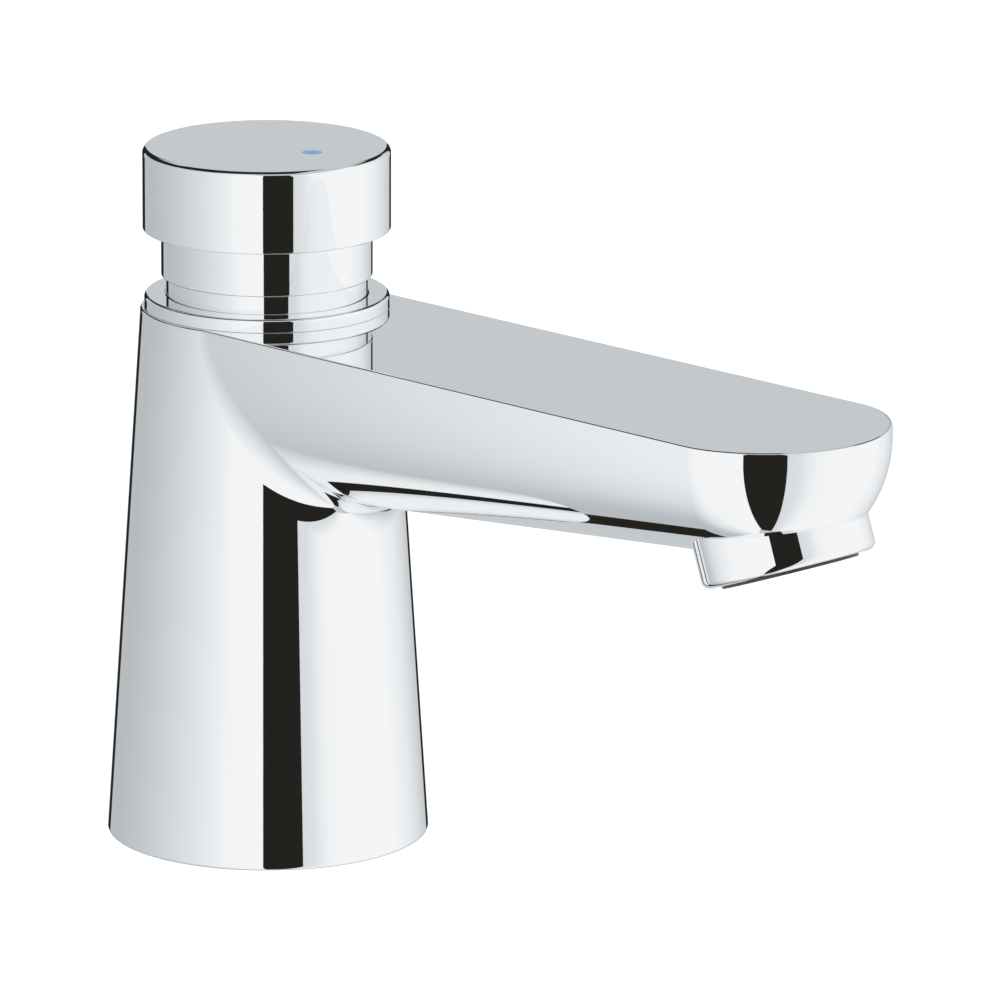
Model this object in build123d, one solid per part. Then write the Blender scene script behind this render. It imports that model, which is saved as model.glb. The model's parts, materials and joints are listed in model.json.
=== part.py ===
from build123d import *
import math
import os

# A self-closing push tap for a washbasin, in millimetres and degrees. The origin is the centre of
# the foot on the deck, +Z is up the column and the spout points along -Y.

# Outer form of the casting
base_radius = 25.0
base_edge_round = 0.6
column_height = 83.5
column_top_radius = 19.5
spout_reach = 122.2
spout_half_width = 18.8
under_radius = 18.2
under_height = 54.3
under_rise = 5.1
tip_length = 26.0
tip_tuck_share = 0.85
tip_tuck_power = 1.5
tip_square_share = 0.785
tip_round_share = 0.62
blend_radius = 7.0
blend_bite = 0.03
blend_depth = 2.5
casting_overrun = 2.0
spout_overrun = 12.5

# Inside of the casting
casting_wall = 3.2
overrun = 1.0
pocket_depth = 26.0
inlet_socket_radius = 8.3
inlet_socket_depth = 8.0
valve_room_radius = 9.0
valve_room_depth = 13.0
head_bore_radius = 16.6
head_bore_depth = 7.2
channel_bridge = 12.4
passage_radius = 4.0
passage_lift = 4.3
passage_rise = 12.2
passage_inner = 10.0
passage_outer = 30.0
stud_offset = 15.5
stud_boss_radius = 5.2
stud_boss_height = 8.0
stud_hole_radius = 3.4
stud_hole_depth = 15.0

# Outlet and flow straightener, measured along the outlet's own tilted axis
outlet_setback = 12.2
outlet_drop = 1.92
outlet_tilt = 20.0
outlet_radius = 13.15
outlet_edge_round = 1.2
outlet_socket_radius = 10.8
outlet_socket_depth = 10.2
outlet_shoulder = 1.6
outlet_way_radius = 8.5
outlet_way_depth = 14.0
housing_rim_radius = 10.35
housing_rim_depth = 0.5
housing_bore_radius = 9.0
housing_length = 8.6
housing_notch_width = 2.4
housing_notch_count = 6
straightener_gap = 0.05
grid_low = 0.8
grid_thickness = 1.6
grid_cell_radius = 1.05
grid_cell_pitch = 2.25
grid_rings = 3
jet_low = 3.0
jet_thickness = 2.2
jet_hole_radius = 0.6
jet_hole_circle = 5.8
jet_hole_count = 12
jet_cone_radius = 3.4
jet_cone_height = 0.9
limiter_thickness = 1.8
limiter_slot_circle = 4.6
limiter_hole_radius = 1.3
limiter_hole_count = 6
outlet_seal_inner = 8.8

# Foot seal and inlet
gasket_rim = 1.4
gasket_inset = 0.1
gasket_height = 1.2
screw_gap = 0.05
adapter_end_gap = 0.5
adapter_body_radius = 7.6
adapter_hex_flats = 17.0
adapter_hex_height = 4.5
washer_height = 1.0
washer_width = 1.25
hose_socket_radius = 4.6
hose_socket_depth = 12.0
adapter_throat_radius = 3.6
filter_floor = 15.0
filter_room_radius = 6.0
strainer_flange_height = 1.2
strainer_radius = 4.6
strainer_wall = 0.8
strainer_length = 11.0
strainer_slot_width = 1.2
strainer_slot_count = 8
strainer_slot_margin = 1.6

# Cartridge, from its seat on the casting upwards
seat_flange_gap = 0.15
seat_flange_height = 3.5
seat_spigot_radius = 10.15
seat_spigot_height = 3.0
seat_bore_radius = 5.0
seat_lip_radius = 5.9
seat_lip_height = 1.0
barrel_radius = 12.5
barrel_gap = 0.1
gallery_depth = 1.3
gallery_lift = 3.5
gallery_height = 8.3
port_radius = 2.2
port_lift = 3.0
port_count = 6
chamber_radius = 9.6
chamber_drop = 0.3
flange_gap = 0.1
flange_height = 3.0
gland_rise = 1.2
gland_hole_radius = 3.1
gland_lip = 1.0
gland_socket_radius = 5.05
spigot_radius = 13.4
spigot_bore_radius = 10.2
spigot_height = 13.7
groove_depth = 1.4
groove_height = 2.2
upper_groove_lift = 2.5
lower_groove_lift = 0.6
seal_gap = 0.05
stem_seal_height = 1.7
bush_flange_radius = 6.2
bush_flange_height = 1.2

# Stem, piston and valve, at rest
stem_radius = 3.0
stem_slide_gap = 0.05
stem_tail_radius = 2.0
stem_reach = 1.0
stem_end = 0.55
piston_rest_gap = 1.5
piston_height = 6.0
piston_gap = 0.25
piston_groove_depth = 1.8
piston_groove_height = 3.0
piston_seal_gap = 0.05
timing_screw_circle = 5.4
timing_screw_radius = 1.1
timing_screw_length = 4.0
timing_hole_radius = 0.7
spacer_radius = 3.2
disc_radius = 6.6
disc_height = 2.4
seat_contact_gap = 0.05
holder_radius = 7.6
holder_floor = 1.5
holder_rim = 0.9
nut_flats = 7.0
nut_height = 2.5

# Head: ring, sleeve, push button and spring
ring_inset = 0.6
ring_height = 2.1
ring_edge_round = 0.5
ring_recess_gap = 0.16
ring_recess_depth = 1.3
ring_slip_gap = 0.2
ring_seal_inset = 0.7
ring_seal_width = 1.0
ring_seal_height = 0.8
neck_step = 0.75
neck_height = 2.9
sleeve_radius = 16.29
sleeve_edge_round = 0.25
button_radius = 19.11
button_height = 12.8
stroke = 7.0
button_foot_gap = 0.3
stop_gap = 0.1
button_slide_gap = 0.31
button_roof = 2.0
button_edge_round = 0.55
button_foot_round = 0.25
dot_offset = 8.4
dot_across = 1.5
dot_radius = 1.55
dot_depth = 0.6
insert_thickness = 2.2
insert_hub_radius = 5.2
insert_hub_length = 6.9
insert_socket_end = 0.2
locknut_flats = 8.0
locknut_height = 3.0
spring_wire_radius = 0.6
spring_mean_radius = 7.4
spring_seat_gap = 0.1
spring_turns = 7.5
spring_arcs_per_turn = 4
spring_close_share = 0.5

# Edges are told apart within this distance
match = 0.01

column_taper = (base_radius - column_top_radius) / column_height
cone_angle = math.atan(column_taper)
under_slope = math.tan(math.radians(under_rise))
tip_start = spout_reach - tip_length
under_flat = spout_half_width - under_radius
outlet_along = spout_reach - outlet_setback
outlet_height = under_height + under_slope * outlet_along - outlet_drop
barrel_bore_radius = barrel_radius + barrel_gap
channel_start = barrel_bore_radius + channel_bridge
gasket_outer = base_radius - gasket_rim
gasket_inner = base_radius - casting_wall + gasket_inset
socket_top = pocket_depth + inlet_socket_depth
adapter_top = socket_top - adapter_end_gap
hex_top = pocket_depth - washer_height
washer_inner = inlet_socket_radius + screw_gap
seat_floor = socket_top + valve_room_depth
seat_flange_radius = barrel_bore_radius - seat_flange_gap
barrel_low = seat_floor + seat_flange_height
gallery_radius = barrel_radius - gallery_depth
gallery_low = barrel_low + gallery_lift
gallery_high = gallery_low + gallery_height
port_height = gallery_low + port_lift
passage_low = gallery_low + passage_lift
passage_high = under_height + passage_rise
upper_groove_low = gallery_high + upper_groove_lift
flange_low = column_height - head_bore_depth
flange_top = flange_low + flange_height
flange_radius = head_bore_radius - flange_gap
chamber_top = flange_low - chamber_drop
gland_top = flange_top + gland_rise
spigot_top = flange_top + spigot_height
ring_radius = column_top_radius - ring_inset
ring_top = column_height + ring_height
ring_bore_radius = spigot_radius + ring_slip_gap
ring_seal_outer = ring_radius - ring_seal_inset
ring_seal_inner = ring_seal_outer - ring_seal_width
neck_radius = sleeve_radius - neck_step
ring_recess_radius = neck_radius + ring_recess_gap
neck_top = ring_top + neck_height
sleeve_low = ring_top - ring_recess_depth
sleeve_bore_radius = spigot_radius + screw_gap
button_bore_radius = sleeve_radius + button_slide_gap
button_low = neck_top + stroke + button_foot_gap
button_top = button_low + button_height
button_ceiling = button_top - button_roof
insert_low = button_ceiling - insert_thickness
insert_hub_low = insert_low - insert_hub_length
sleeve_top = insert_low - stroke - stop_gap
stem_top = insert_low + stem_reach
piston_top = chamber_top - piston_rest_gap
piston_low = piston_top - piston_height
disc_top = seat_floor - seat_lip_height - seat_contact_gap
disc_low = disc_top - disc_height
holder_low = disc_low - holder_floor
nut_low = holder_low - nut_height
stem_foot = nut_low - stem_end
tail_bore_radius = stem_tail_radius + screw_gap
bush_low = chamber_top + gland_lip + stem_seal_height


def at_spout(along, across, height):
    """The point this far along the spout, across it and above the deck."""
    return Vector(across, -along, height)


def disc(radius, low, high):
    """An upright solid cylinder between two heights."""
    grown = Cylinder(radius, high - low, align=(Align.CENTER, Align.CENTER, Align.MIN))
    return Pos(0, 0, low) * grown


def tube(outer, inner, low, high):
    """An upright pipe between two heights."""
    return disc(outer, low, high) - disc(inner, low - overrun, high + overrun)


def hexagon(flats, low, high):
    """An upright hexagonal prism of this width across its flats."""
    corner = flats / 2 / math.cos(math.radians(30))
    return Pos(0, 0, low) * extrude(RegularPolygon(corner, 6), high - low)


def turned(*outline):
    """A closed outline of (radius, height) points, turned about the column's axis."""
    return revolve(Plane.XZ * make_face(Polyline(*outline, close=True)), Axis.Z)


def rim(part, radius, height):
    """The circular edges of this radius at this height."""
    def fits(edge):
        return abs(edge.radius - radius) < match and abs(edge.arc_center.Z - height) < match

    return part.edges().filter_by(GeomType.CIRCLE).filter_by(fits)


def around(count):
    """The turns, in degrees, of this many evenly spaced copies."""
    return [360 * step / count for step in range(count)]


def on_outlet(part):
    """A part drawn upright at the origin, put on the outlet's tilted axis with its foot at the rim."""
    tilt = math.radians(outlet_tilt)
    rise = Vector(0, math.sin(tilt), math.cos(tilt))
    foot = Plane(at_spout(outlet_along, 0, outlet_height), x_dir=(1, 0, 0), z_dir=rise)
    return foot.location * part


def spout_level(shrink, angle, lift, back):
    """The spout's outline at one level of its rounded underside.

    The angle runs from 0, where the side wall is upright, to 90 at the underside's flat middle.
    The outline is two straight sides and a nose of two Bezier curves, which draws back below.
    """
    turn = math.radians(angle)
    radius = under_radius - shrink
    half_width = under_flat + radius * math.cos(turn)
    closed = 1 - math.cos(turn)
    nose = (tip_length - shrink) * (1 - tip_tuck_share * closed ** tip_tuck_power)
    tip = tip_start + nose
    pull = tip_square_share + (tip_round_share - tip_square_share) * closed

    def point(along, across):
        under = under_height + shrink + under_slope * along
        return at_spout(along, across, under + radius * (1 - math.sin(turn)) + lift)

    knee = tip_start + pull * nose
    return Face(Wire([
        Line(point(back, half_width), point(tip_start, half_width)),
        Bezier(point(tip_start, half_width), point(knee, half_width),
               point(tip, pull * half_width), point(tip, 0)),
        Bezier(point(tip, 0), point(tip, -pull * half_width),
               point(knee, -half_width), point(tip_start, -half_width)),
        Line(point(tip_start, -half_width), point(back, -half_width)),
        Line(point(back, -half_width), point(back, half_width)),
    ]))


def spout_form(shrink, back):
    """The spout's bulk, or its hollow where shrink is the wall, from back to the tip."""
    walls = [spout_level(shrink, 0, spout_overrun * share, back) for share in (1, 2 / 3, 1 / 3)]
    return loft(walls + [spout_level(shrink, angle, 0, back) for angle in range(0, 91, 10)])


def blend_slice(angle, lift, side):
    """One slice of the fillet between spout and column.

    A ball of blend_radius rolls in the corner. Its centre is found by halving the range of places
    along the spout until the ball touches the column's cone, and the slice is the arc between the
    two touching points, closed by a corner inside the metal.
    """
    turn = math.radians(angle)
    away = Vector(under_slope * math.sin(turn), side * math.cos(turn), -math.sin(turn)).normalized()
    reach = blend_radius - blend_bite
    across = side * (under_flat + under_radius * math.cos(turn)) + reach * away.Y
    height = under_height + under_radius * (1 - math.sin(turn)) + lift + reach * away.Z

    def centre(along):
        return Vector(along + reach * away.X, across, height + under_slope * along)

    def clear(along):
        ball = centre(along)
        cone_radius = base_radius - column_taper * ball.Z
        gap = (math.hypot(ball.X, ball.Y) - cone_radius) * math.cos(cone_angle)
        return gap > reach

    near, far = 0, spout_reach
    for _ in range(60):
        middle = (near + far) / 2
        near, far = (near, middle) if clear(middle) else (middle, far)
    ball = centre(far)
    out = math.hypot(ball.X, ball.Y) / math.cos(cone_angle)
    from_cone = Vector(ball.X / out, ball.Y / out, math.sin(cone_angle))
    inward = (away + from_cone).normalized()
    on_spout = at_spout(*(ball - away * blend_radius))
    on_cone = at_spout(*(ball - from_cone * blend_radius))
    on_arc = at_spout(*(ball - inward * blend_radius))
    inside = at_spout(*(ball - inward * (blend_radius + blend_depth)))
    return Face(Wire([
        ThreePointArc(on_spout, on_arc, on_cone),
        Line(on_cone, inside),
        Line(inside, on_spout),
    ]))


def blend_form():
    """The fillet from the top of one side, round under the spout, to the top of the other."""
    wall = [(0, spout_overrun * share) for share in (1, 2 / 3, 1 / 3)]
    stations = wall + [(angle, 0) for angle in range(0, 91, 15)]
    right = [blend_slice(angle, lift, 1) for angle, lift in stations]
    left = [blend_slice(angle, lift, -1) for angle, lift in reversed(stations)]
    return loft(right + left)


def casting_outside():
    """Column, spout, the fillet between them and the outlet's collar, as one bulk."""
    rise = column_height + casting_overrun
    column = Cone(base_radius, base_radius - column_taper * rise, rise,
                  align=(Align.CENTER, Align.CENTER, Align.MIN))
    column = fillet(rim(column, base_radius, 0), base_edge_round)
    bulk = column + spout_form(0, 0) + blend_form()
    sky = disc(spout_reach + base_radius, column_height, column_height + spout_reach)
    collar = disc(outlet_radius, 0, outlet_socket_depth + outlet_shoulder)
    collar = fillet(rim(collar, outlet_radius, 0), outlet_edge_round)
    return bulk - sky, on_outlet(collar)


def tap_body():
    """The brass casting with its pocket, bores, water channel and outlet socket."""
    bulk, collar = casting_outside()
    channel = spout_form(casting_wall, channel_start)
    channel -= disc(spout_reach + base_radius, column_height - casting_wall,
                    column_height + spout_reach)
    pocket_top_radius = base_radius - casting_wall - column_taper * pocket_depth
    pocket = Cone(base_radius - casting_wall, pocket_top_radius, pocket_depth,
                  align=(Align.CENTER, Align.CENTER, Align.MIN))
    stud_boss = disc(stud_boss_radius, stud_boss_height, pocket_depth + overrun)
    pocket -= Pos(0, stud_offset, 0) * stud_boss
    inner = at_spout(passage_inner, 0, passage_low)
    outer = at_spout(passage_outer, 0, passage_high)
    passage = Plane(inner, z_dir=outer - inner) * Cylinder(
        passage_radius, (outer - inner).length, align=(Align.CENTER, Align.CENTER, Align.MIN))
    body = bulk - channel
    body += collar
    body -= pocket
    body -= disc(gasket_outer + seal_gap, -overrun, gasket_height)
    body -= disc(inlet_socket_radius, pocket_depth - overrun, socket_top + overrun)
    body -= disc(valve_room_radius, socket_top, seat_floor + overrun)
    body -= disc(barrel_bore_radius, seat_floor, column_height)
    body -= disc(head_bore_radius, flange_low, column_height + overrun)
    body -= Pos(0, stud_offset, stud_boss_height) * disc(stud_hole_radius, -overrun, stud_hole_depth)
    body -= passage
    body -= on_outlet(disc(outlet_socket_radius, -overrun, outlet_socket_depth))
    body -= on_outlet(disc(outlet_way_radius, 0, outlet_way_depth))
    return body


def base_gasket():
    """Flat rubber ring in the foot's rabbet, level with the rim."""
    return tube(gasket_outer, gasket_inner, 0, gasket_height)


def inlet_adapter():
    """Brass union screwed up into the casting, with the hose thread in its foot."""
    thread_radius = inlet_socket_radius - screw_gap
    adapter = disc(adapter_body_radius, 0, pocket_depth)
    adapter += hexagon(adapter_hex_flats, hex_top - adapter_hex_height, hex_top)
    adapter += disc(thread_radius, hex_top, adapter_top)
    adapter -= disc(hose_socket_radius, -overrun, hose_socket_depth)
    adapter -= disc(adapter_throat_radius, 0, adapter_top)
    return adapter - disc(filter_room_radius, filter_floor, adapter_top + overrun)


def inlet_washer():
    """Sealing washer between the adapter's hexagon and the casting."""
    return tube(washer_inner + washer_width, washer_inner, hex_top, pocket_depth)


def inlet_strainer():
    """Slotted thimble standing on the ledge inside the adapter."""
    top = filter_floor + strainer_length
    shell = disc(filter_room_radius - seal_gap, filter_floor,
                 filter_floor + strainer_flange_height)
    shell += disc(strainer_radius, filter_floor, top)
    shell -= disc(strainer_radius - strainer_wall, filter_floor - overrun, top - strainer_wall)
    low = filter_floor + strainer_flange_height + strainer_slot_margin / 2
    slot_length = top - strainer_slot_margin - low
    slot = Box(strainer_radius + overrun, strainer_slot_width, slot_length,
               align=(Align.MIN, Align.CENTER, Align.MIN))
    slots = [Rot(0, 0, turn) * Pos(0, 0, low) * slot for turn in around(strainer_slot_count)]
    return shell - slots


def valve_seat():
    """Seat ring under the barrel, with the raised lip that the disc closes on."""
    inner = seat_bore_radius
    seat = turned(
        (inner, seat_floor - seat_lip_height),
        (seat_lip_radius, seat_floor - seat_lip_height),
        (seat_lip_radius, seat_floor),
        (seat_flange_radius, seat_floor),
        (seat_flange_radius, barrel_low),
        (seat_spigot_radius, barrel_low),
        (seat_spigot_radius, barrel_low + seat_spigot_height),
        (inner, barrel_low + seat_spigot_height),
    )
    low = seat_floor + lower_groove_lift
    return seat - tube(seat_flange_radius + overrun, seat_flange_radius - groove_depth,
                       low, low + groove_height)


def groove_ring(wall_radius, groove_radius, low):
    """A rubber ring filling a groove and just clear of the bore that it seals."""
    return tube(wall_radius - seal_gap, groove_radius, low, low + groove_height)


def lower_seal():
    """Ring in the seat's groove."""
    return groove_ring(barrel_bore_radius, seat_flange_radius - groove_depth,
                       seat_floor + lower_groove_lift)


def upper_seal():
    """Ring in the barrel's groove, above the water gallery."""
    return groove_ring(barrel_bore_radius, barrel_radius - groove_depth, upper_groove_low)


def cartridge_body():
    """Barrel with its timing chamber, flange, gland and the spigot that holds the sleeve."""
    spigot_end = barrel_low + seat_spigot_height
    seat_socket = seat_spigot_radius + screw_gap
    body = turned(
        (seat_socket, barrel_low),
        (barrel_radius, barrel_low),
        (barrel_radius, gallery_low),
        (gallery_radius, gallery_low),
        (gallery_radius, gallery_high),
        (barrel_radius, gallery_high),
        (barrel_radius, flange_low),
        (flange_radius, flange_low),
        (flange_radius, flange_top),
        (spigot_radius, flange_top),
        (spigot_radius, spigot_top),
        (spigot_bore_radius, spigot_top),
        (spigot_bore_radius, gland_top),
        (gland_socket_radius, gland_top),
        (gland_socket_radius, chamber_top + gland_lip),
        (gland_hole_radius, chamber_top + gland_lip),
        (gland_hole_radius, chamber_top),
        (chamber_radius, chamber_top),
        (chamber_radius, spigot_end),
        (seat_socket, spigot_end),
    )
    body -= tube(barrel_radius + overrun, barrel_radius - groove_depth,
                 upper_groove_low, upper_groove_low + groove_height)
    port = Rot(0, 90, 0) * Cylinder(port_radius, barrel_radius + overrun,
                                    align=(Align.CENTER, Align.CENTER, Align.MIN))
    return body - [Rot(0, 0, turn) * Pos(0, 0, port_height) * port for turn in around(port_count)]


def stem_seal():
    """Ring round the stem at the foot of the gland."""
    low = chamber_top + gland_lip
    return tube(gland_socket_radius - seal_gap, stem_radius + stem_slide_gap,
                low, low + stem_seal_height)


def gland_bush():
    """Plastic bush that guides the stem and closes the gland."""
    bush = disc(gland_socket_radius - screw_gap, bush_low, gland_top)
    bush += disc(bush_flange_radius, gland_top, gland_top + bush_flange_height)
    return bush - disc(stem_radius + stem_slide_gap, bush_low - overrun,
                       gland_top + bush_flange_height + overrun)


def stem():
    """Stepped rod from the push button down to the valve disc."""
    return disc(stem_radius, piston_top, stem_top) + disc(stem_tail_radius, stem_foot, piston_top)


def timing_piston():
    """Piston that the stem pushes down its chamber, grooved for its lip seal."""
    radius = chamber_radius - piston_gap
    piston = tube(radius, tail_bore_radius, piston_low, piston_top)
    groove_low = piston_low + (piston_height - piston_groove_height) / 2
    piston -= tube(radius + overrun, radius - piston_groove_depth,
                   groove_low, groove_low + piston_groove_height)
    screw_low = piston_top - timing_screw_length
    bore = disc(timing_screw_radius + screw_gap, screw_low, piston_top + overrun)
    bore += disc(timing_hole_radius, piston_low - overrun, screw_low)
    return piston - Pos(0, timing_screw_circle, 0) * bore


def piston_seal():
    """Rubber cup in the piston's groove, hollowed on its upper side to make a lip."""
    inner = chamber_radius - piston_gap - piston_groove_depth
    outer = chamber_radius - piston_seal_gap
    low = piston_low + (piston_height - piston_groove_height) / 2
    high = low + piston_groove_height
    valley = (inner + outer) / 2
    return turned((inner, low), (outer - piston_seal_gap, low), (outer, high),
                  (valley, (low + high) / 2), (inner, high))


def timing_screw():
    """Slotted screw in the piston that sets how fast the chamber empties."""
    low = piston_top - timing_screw_length
    screw = disc(timing_screw_radius, low, piston_top)
    slot = timing_screw_radius / 3
    screw -= Pos(0, 0, piston_top) * Box(4 * timing_screw_radius, slot, 2 * slot)
    return Pos(0, timing_screw_circle, 0) * screw


def spacer_tube():
    """Tube on the stem's tail that holds the valve disc down from the piston."""
    return tube(spacer_radius, tail_bore_radius, disc_top, piston_low)


def valve_disc():
    """Rubber washer that closes the seat from below."""
    return tube(disc_radius, tail_bore_radius, disc_low, disc_top)


def disc_holder():
    """Brass cup under the rubber washer."""
    cup = disc(holder_radius, holder_low, disc_low + holder_rim)
    cup -= disc(disc_radius + screw_gap, disc_low, disc_top)
    return cup - disc(tail_bore_radius, holder_low - overrun, disc_low + overrun)


def disc_nut():
    """Nut on the stem's foot."""
    return hexagon(nut_flats, nut_low, holder_low) - disc(tail_bore_radius, nut_low - overrun,
                                                          holder_low + overrun)


def collar_ring():
    """Chrome ring nut on top of the column, screwed down on the cartridge's flange."""
    skirt = head_bore_radius - screw_gap
    ring = turned(
        (ring_bore_radius, flange_top),
        (skirt, flange_top),
        (skirt, column_height),
        (ring_radius, column_height),
        (ring_radius, ring_top),
        (ring_recess_radius, ring_top),
        (ring_recess_radius, sleeve_low),
        (ring_bore_radius, sleeve_low),
    )
    ring = fillet(rim(ring, ring_radius, ring_top), ring_edge_round)
    return ring - tube(ring_seal_outer, ring_seal_inner, column_height - overrun,
                       column_height + ring_seal_height)


def collar_seal():
    """Thin ring between the collar ring and the casting."""
    return tube(ring_seal_outer - seal_gap, ring_seal_inner + seal_gap, column_height,
                column_height + ring_seal_height)


def guide_sleeve():
    """Chrome sleeve that the push button slides down over, with the narrower neck under it."""
    sleeve = turned(
        (sleeve_bore_radius, sleeve_low),
        (neck_radius, sleeve_low),
        (neck_radius, neck_top),
        (sleeve_radius, neck_top),
        (sleeve_radius, sleeve_top),
        (sleeve_bore_radius, sleeve_top),
    )
    return fillet(rim(sleeve, sleeve_radius, neck_top), sleeve_edge_round)


def push_button():
    """Chrome cap pressed by the hand, open below, with a blind place for the coloured dot."""
    cap = disc(button_radius, button_low, button_top)
    cap = fillet(rim(cap, button_radius, button_top), button_edge_round)
    cap = fillet(rim(cap, button_radius, button_low), button_foot_round)
    cap -= disc(button_bore_radius, button_low - overrun, button_ceiling)
    dot = disc(dot_radius, button_top - dot_depth, button_top + overrun)
    return cap - Pos(at_spout(dot_offset, dot_across, 0)) * dot


def indicator_dot():
    """Coloured inlay on top of the push button."""
    return Pos(at_spout(dot_offset, dot_across, 0)) * disc(dot_radius, button_top - dot_depth, button_top)


def button_insert():
    """Plastic carrier pressed into the button, with the hub that the stem screws into."""
    insert = disc(button_bore_radius - screw_gap, insert_low, button_ceiling)
    insert += disc(insert_hub_radius, insert_hub_low, insert_low)
    return insert - disc(stem_radius + screw_gap, insert_hub_low - overrun,
                         stem_top + insert_socket_end)


def stem_locknut():
    """Nut that locks the stem in the hub."""
    low = insert_hub_low - locknut_height
    return hexagon(locknut_flats, low, insert_hub_low) - disc(
        stem_radius + screw_gap, low - overrun, insert_hub_low + overrun)


def spring_point(share):
    """The wire's centre at this share of its length, its direction there, and its height.

    The height is rise * (share - close / 2 pi * sin(2 pi share)), so the end turns lie closer.
    """
    low = gland_top + spring_seat_gap + spring_wire_radius
    high = insert_low - spring_seat_gap - spring_wire_radius
    turn = 2 * math.pi * spring_turns * share
    wave = 2 * math.pi * share
    height = low + (high - low) * (share - spring_close_share / (2 * math.pi) * math.sin(wave))
    climb = (high - low) * (1 - spring_close_share * math.cos(wave))
    place = Vector(spring_mean_radius * math.cos(turn), spring_mean_radius * math.sin(turn), height)
    speed = 2 * math.pi * spring_turns * spring_mean_radius
    way = Vector(-speed * math.sin(turn), speed * math.cos(turn), climb)
    return place, way.normalized()


def spring_path():
    """The coil as pairs of arcs that share a tangent, one pair for each quarter turn."""
    count = int(spring_turns * spring_arcs_per_turn)
    knots = [spring_point(step / count) for step in range(count + 1)]
    arcs = []
    for (start, out), (end, back) in zip(knots, knots[1:]):
        chord, both = end - start, out + back
        square = both.dot(both) - 4
        middle = chord.dot(both)
        reach = (middle - math.sqrt(middle * middle - square * chord.dot(chord))) / square
        joint = (start + out * reach + end - back * reach) / 2
        arcs.append(Edge.make_tangent_arc(start, out, joint))
        tangent = (end - back * reach - joint).normalized()
        arcs.append(Edge.make_tangent_arc(joint, tangent, end))
    return Wire(arcs)


def spring_gap():
    """The least gap of the coil to its own next turn, from points along it."""
    count = int(spring_turns * 48)
    points = [spring_point(step / count)[0] for step in range(count + 1)]
    least = min((points[i] - points[j]).length
                for i in range(count + 1) for j in range(i + 24, count + 1))
    return least - 2 * spring_wire_radius


def return_spring():
    """Coil round the stem that lifts the push button again."""
    path = spring_path()
    start, way = spring_point(0)
    return sweep(Plane(start, z_dir=way) * Circle(spring_wire_radius), path=path)


def aerator_housing():
    """Ring screwed into the outlet, with notches for its key inside the rim that shows."""
    housing = disc(outlet_socket_radius - screw_gap, 0, housing_length)
    housing += disc(housing_rim_radius, -housing_rim_depth, 0)
    housing -= disc(housing_bore_radius, -overrun, housing_length + overrun)
    rim_width = housing_rim_radius - housing_bore_radius
    notch = Pos(housing_bore_radius, 0, 0) * Box(rim_width, housing_notch_width,
                                               2 * housing_rim_depth)
    return on_outlet(housing - [Rot(0, 0, turn) * notch for turn in around(housing_notch_count)])


def aerator_grid():
    """Honeycomb plate at the mouth of the outlet."""
    radius = housing_bore_radius - straightener_gap
    plate = disc(radius, grid_low, grid_low + grid_thickness)
    cells = []
    for row in range(-grid_rings, grid_rings + 1):
        for column in range(-grid_rings, grid_rings + 1):
            if abs(row + column) > grid_rings:
                continue
            across = grid_cell_pitch * (column + row / 2)
            along = grid_cell_pitch * row * math.sin(math.radians(60))
            cells.append(Pos(across, along, grid_low - overrun) * extrude(
                RegularPolygon(grid_cell_radius, 6), grid_thickness + 2 * overrun))
    return on_outlet(plate - cells)


def jet_regulator():
    """Plate with a ring of jets and a low cone that spreads the water to them."""
    radius = housing_bore_radius - straightener_gap
    top = jet_low + jet_thickness
    plate = disc(radius, jet_low, top)
    plate += Pos(0, 0, top) * Cone(jet_cone_radius, jet_cone_radius / 2, jet_cone_height,
                                   align=(Align.CENTER, Align.CENTER, Align.MIN))
    hole = Pos(jet_hole_circle, 0, 0) * disc(jet_hole_radius, jet_low - overrun, top + overrun)
    return on_outlet(plate - [Rot(0, 0, turn) * hole for turn in around(jet_hole_count)])


def flow_limiter():
    """Plate with calibrated holes on top of the jets."""
    radius = housing_bore_radius - straightener_gap
    low = housing_length - limiter_thickness
    plate = disc(radius, low, housing_length)
    hole = Pos(limiter_slot_circle, 0, 0) * disc(limiter_hole_radius, low - overrun,
                                                 housing_length + overrun)
    return on_outlet(plate - [Rot(0, 0, turn) * hole for turn in around(limiter_hole_count)])


def outlet_seal():
    """Flat ring between the flow straightener and the shoulder in the outlet."""
    return on_outlet(tube(outlet_socket_radius - seal_gap, outlet_seal_inner, housing_length,
                          outlet_socket_depth))


PIECES = [
    tap_body, base_gasket, inlet_adapter, inlet_washer, inlet_strainer,
    valve_seat, lower_seal, upper_seal, cartridge_body, stem_seal, gland_bush,
    stem, timing_piston, piston_seal, timing_screw, spacer_tube, valve_disc, disc_holder, disc_nut,
    collar_ring, collar_seal, guide_sleeve, push_button, indicator_dot, button_insert, stem_locknut,
    return_spring, aerator_housing, aerator_grid, jet_regulator, flow_limiter, outlet_seal,
]

os.makedirs("parts", exist_ok=True)
for piece in PIECES:
    export_step(piece(), f"parts/{piece.__name__}.step")
print(f"least gap between the spring's turns {spring_gap():.2f} mm")
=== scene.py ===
import json
import math

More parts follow.
